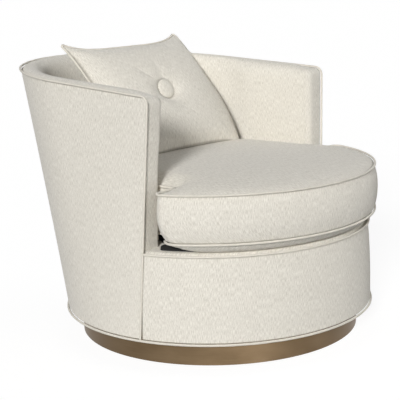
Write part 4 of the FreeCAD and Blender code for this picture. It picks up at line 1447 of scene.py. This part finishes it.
def makePillow():
    place = pillowPlace()
    skin = Skin()
    held = {}
    edge = pillow["edge"]
    outline = pillowLoop(1)
    middles = []
    for level in (-edge, edge):
        middles.append(skin.add([Vector((p.x, p.y, level)) for p in outline], [0] * len(outline)))
    for i in middles[0] + middles[1]:
        held[i] = 1.0
    around = lengthsOf([skin.points[i] for i in middles[0]], closed=True)
    skin.strip(middles[0], middles[1], [(a, -edge) for a in around], [(a, edge) for a in around])
    for sign, previous in ((1, middles[1]), (-1, middles[0])):
        for share in pillow["shares"]:
            points = []
            for p in pillowLoop(share):
                pucker = 1.6 * noise.noise(Vector((p.x, p.y, sign * 40)) / 22) * math.exp(-(1 - share) * 22)
                points.append(Vector((p.x, p.y, sign * max(edge, pillowRise(p) + pucker))))
            now = skin.add(points, [(1 - share) * 215] * len(points))
            skin.strip(*((previous, now) if sign > 0 else (now, previous)))
            previous = now
        centre = Vector((0, pillow["tuftUp"], 0))

        def shape(point, share):
            return Vector((point.x, point.y, sign * pillowRise(point)))

        flatRing = previous if sign > 0 else previous[::-1]
        start = len(skin.points)
        skin.fill(flatRing, centre, 5, shape, least=60)
        for i in range(start, len(skin.points)):
            p = skin.points[i]
            reach = math.hypot(p.x, p.y - pillow["tuftUp"])
            # painted shade in a ring where the button draws the cloth in
            skin.paintedShade[i] = 0.8 * math.exp(-(((reach - pillow["tuftSeat"]) / 4) ** 2))
            if reach < pillow["tuftSeat"] + 2:
                held[i] = 1.0
    skin.points = [tucked(p) for p in skin.points]
    piece = makePiece("throw_pillow", skin, place=place)
    settle(piece, held, pillow["cap"], pillow["shrink"])
    subdivide(piece)
    back, under = treeOf(insideBack), treeOf(seatCushion)
    restOn(piece, back, under)
    handOver(piece, "pillow", "pillow_cover", "pillow_fill", fill=pillow["fill"])
    path = []
    for before, here, after in zip(outline[-1:] + outline[:-1], outline, outline[1:] + outline[:1]):
        along = (after - before).normalized()
        spot = tucked(Vector((here.x + along.y * pillow["welt"], here.y - along.x * pillow["welt"], 0)))
        path.append(place.inverted() @ clearOf(back, place @ (spot / 1000), pillow["weltGap"]) * 1000)
    welt = makeWelt("pillow_edge_welt", path, "pillow", "pillow_welt", place=place)
    restOn(welt, back, under)
    for name, node, sign in (
        ("pillow_button_front", "pillow_front_button", 1),
        ("pillow_button_back", "pillow_back_button", -1),
    ):
        centre = Matrix.Translation(Vector((0, pillow["tuftUp"], sign * pillow["buttonUp"])) / 1000)
        tilt = Matrix.Rotation(math.radians(pillow["tuftTilt"]) * sign, 4, "X")
        shrink = Matrix.Diagonal((pillow["buttonScale"], pillow["buttonScale"], 1, 1))
        makeButton(name, node, sign, place @ centre @ tilt @ shrink @ centre.inverted())


button = {
    "profile": [(31.0, 34.2), (31.7, 35.2), (31.75, 36.4), (31.0, 37.8), (29.2, 39.2), (26, 40.9), (21, 42.7),
                (15, 44.1), (8, 44.9)],
    "tip": 45.1,
    "foot": 34.1,
    "count": 72,
    "pleats": 18,
    "pleatDepth": 0.22,
}


def makeButton(name, node, sign, place):
    skin = Skin()
    centre = Vector((0, pillow["tuftUp"], 0))
    turns = [2 * math.pi * i / button["count"] * sign for i in range(button["count"])]
    rings = []
    for radius, level in button["profile"]:
        deep = button["pleatDepth"] * max(0, (radius - 24) / 8)
        reaches = [radius + deep * math.sin(turn * button["pleats"]) for turn in turns]
        rings.append(skin.add([centre + polar(r, turn, sign * level) for r, turn in zip(reaches, turns)]))
    for a, b in zip(rings, rings[1:]):
        skin.strip(a, b)
    for ring, level in ((rings[-1], button["tip"]), (rings[0], button["foot"])):
        skin.fan(ring, skin.add([centre + Vector((0, 0, sign * level))])[0])
    piece = makePiece(name, skin, place=place)
    handOver(piece, "pillow", node)


makePillow()
print("pillow made")

sizes = {"cad": cadBounds, "visual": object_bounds()}
{key: [list(map(float, corner)) for corner in value] for key, value in sizes.items()}
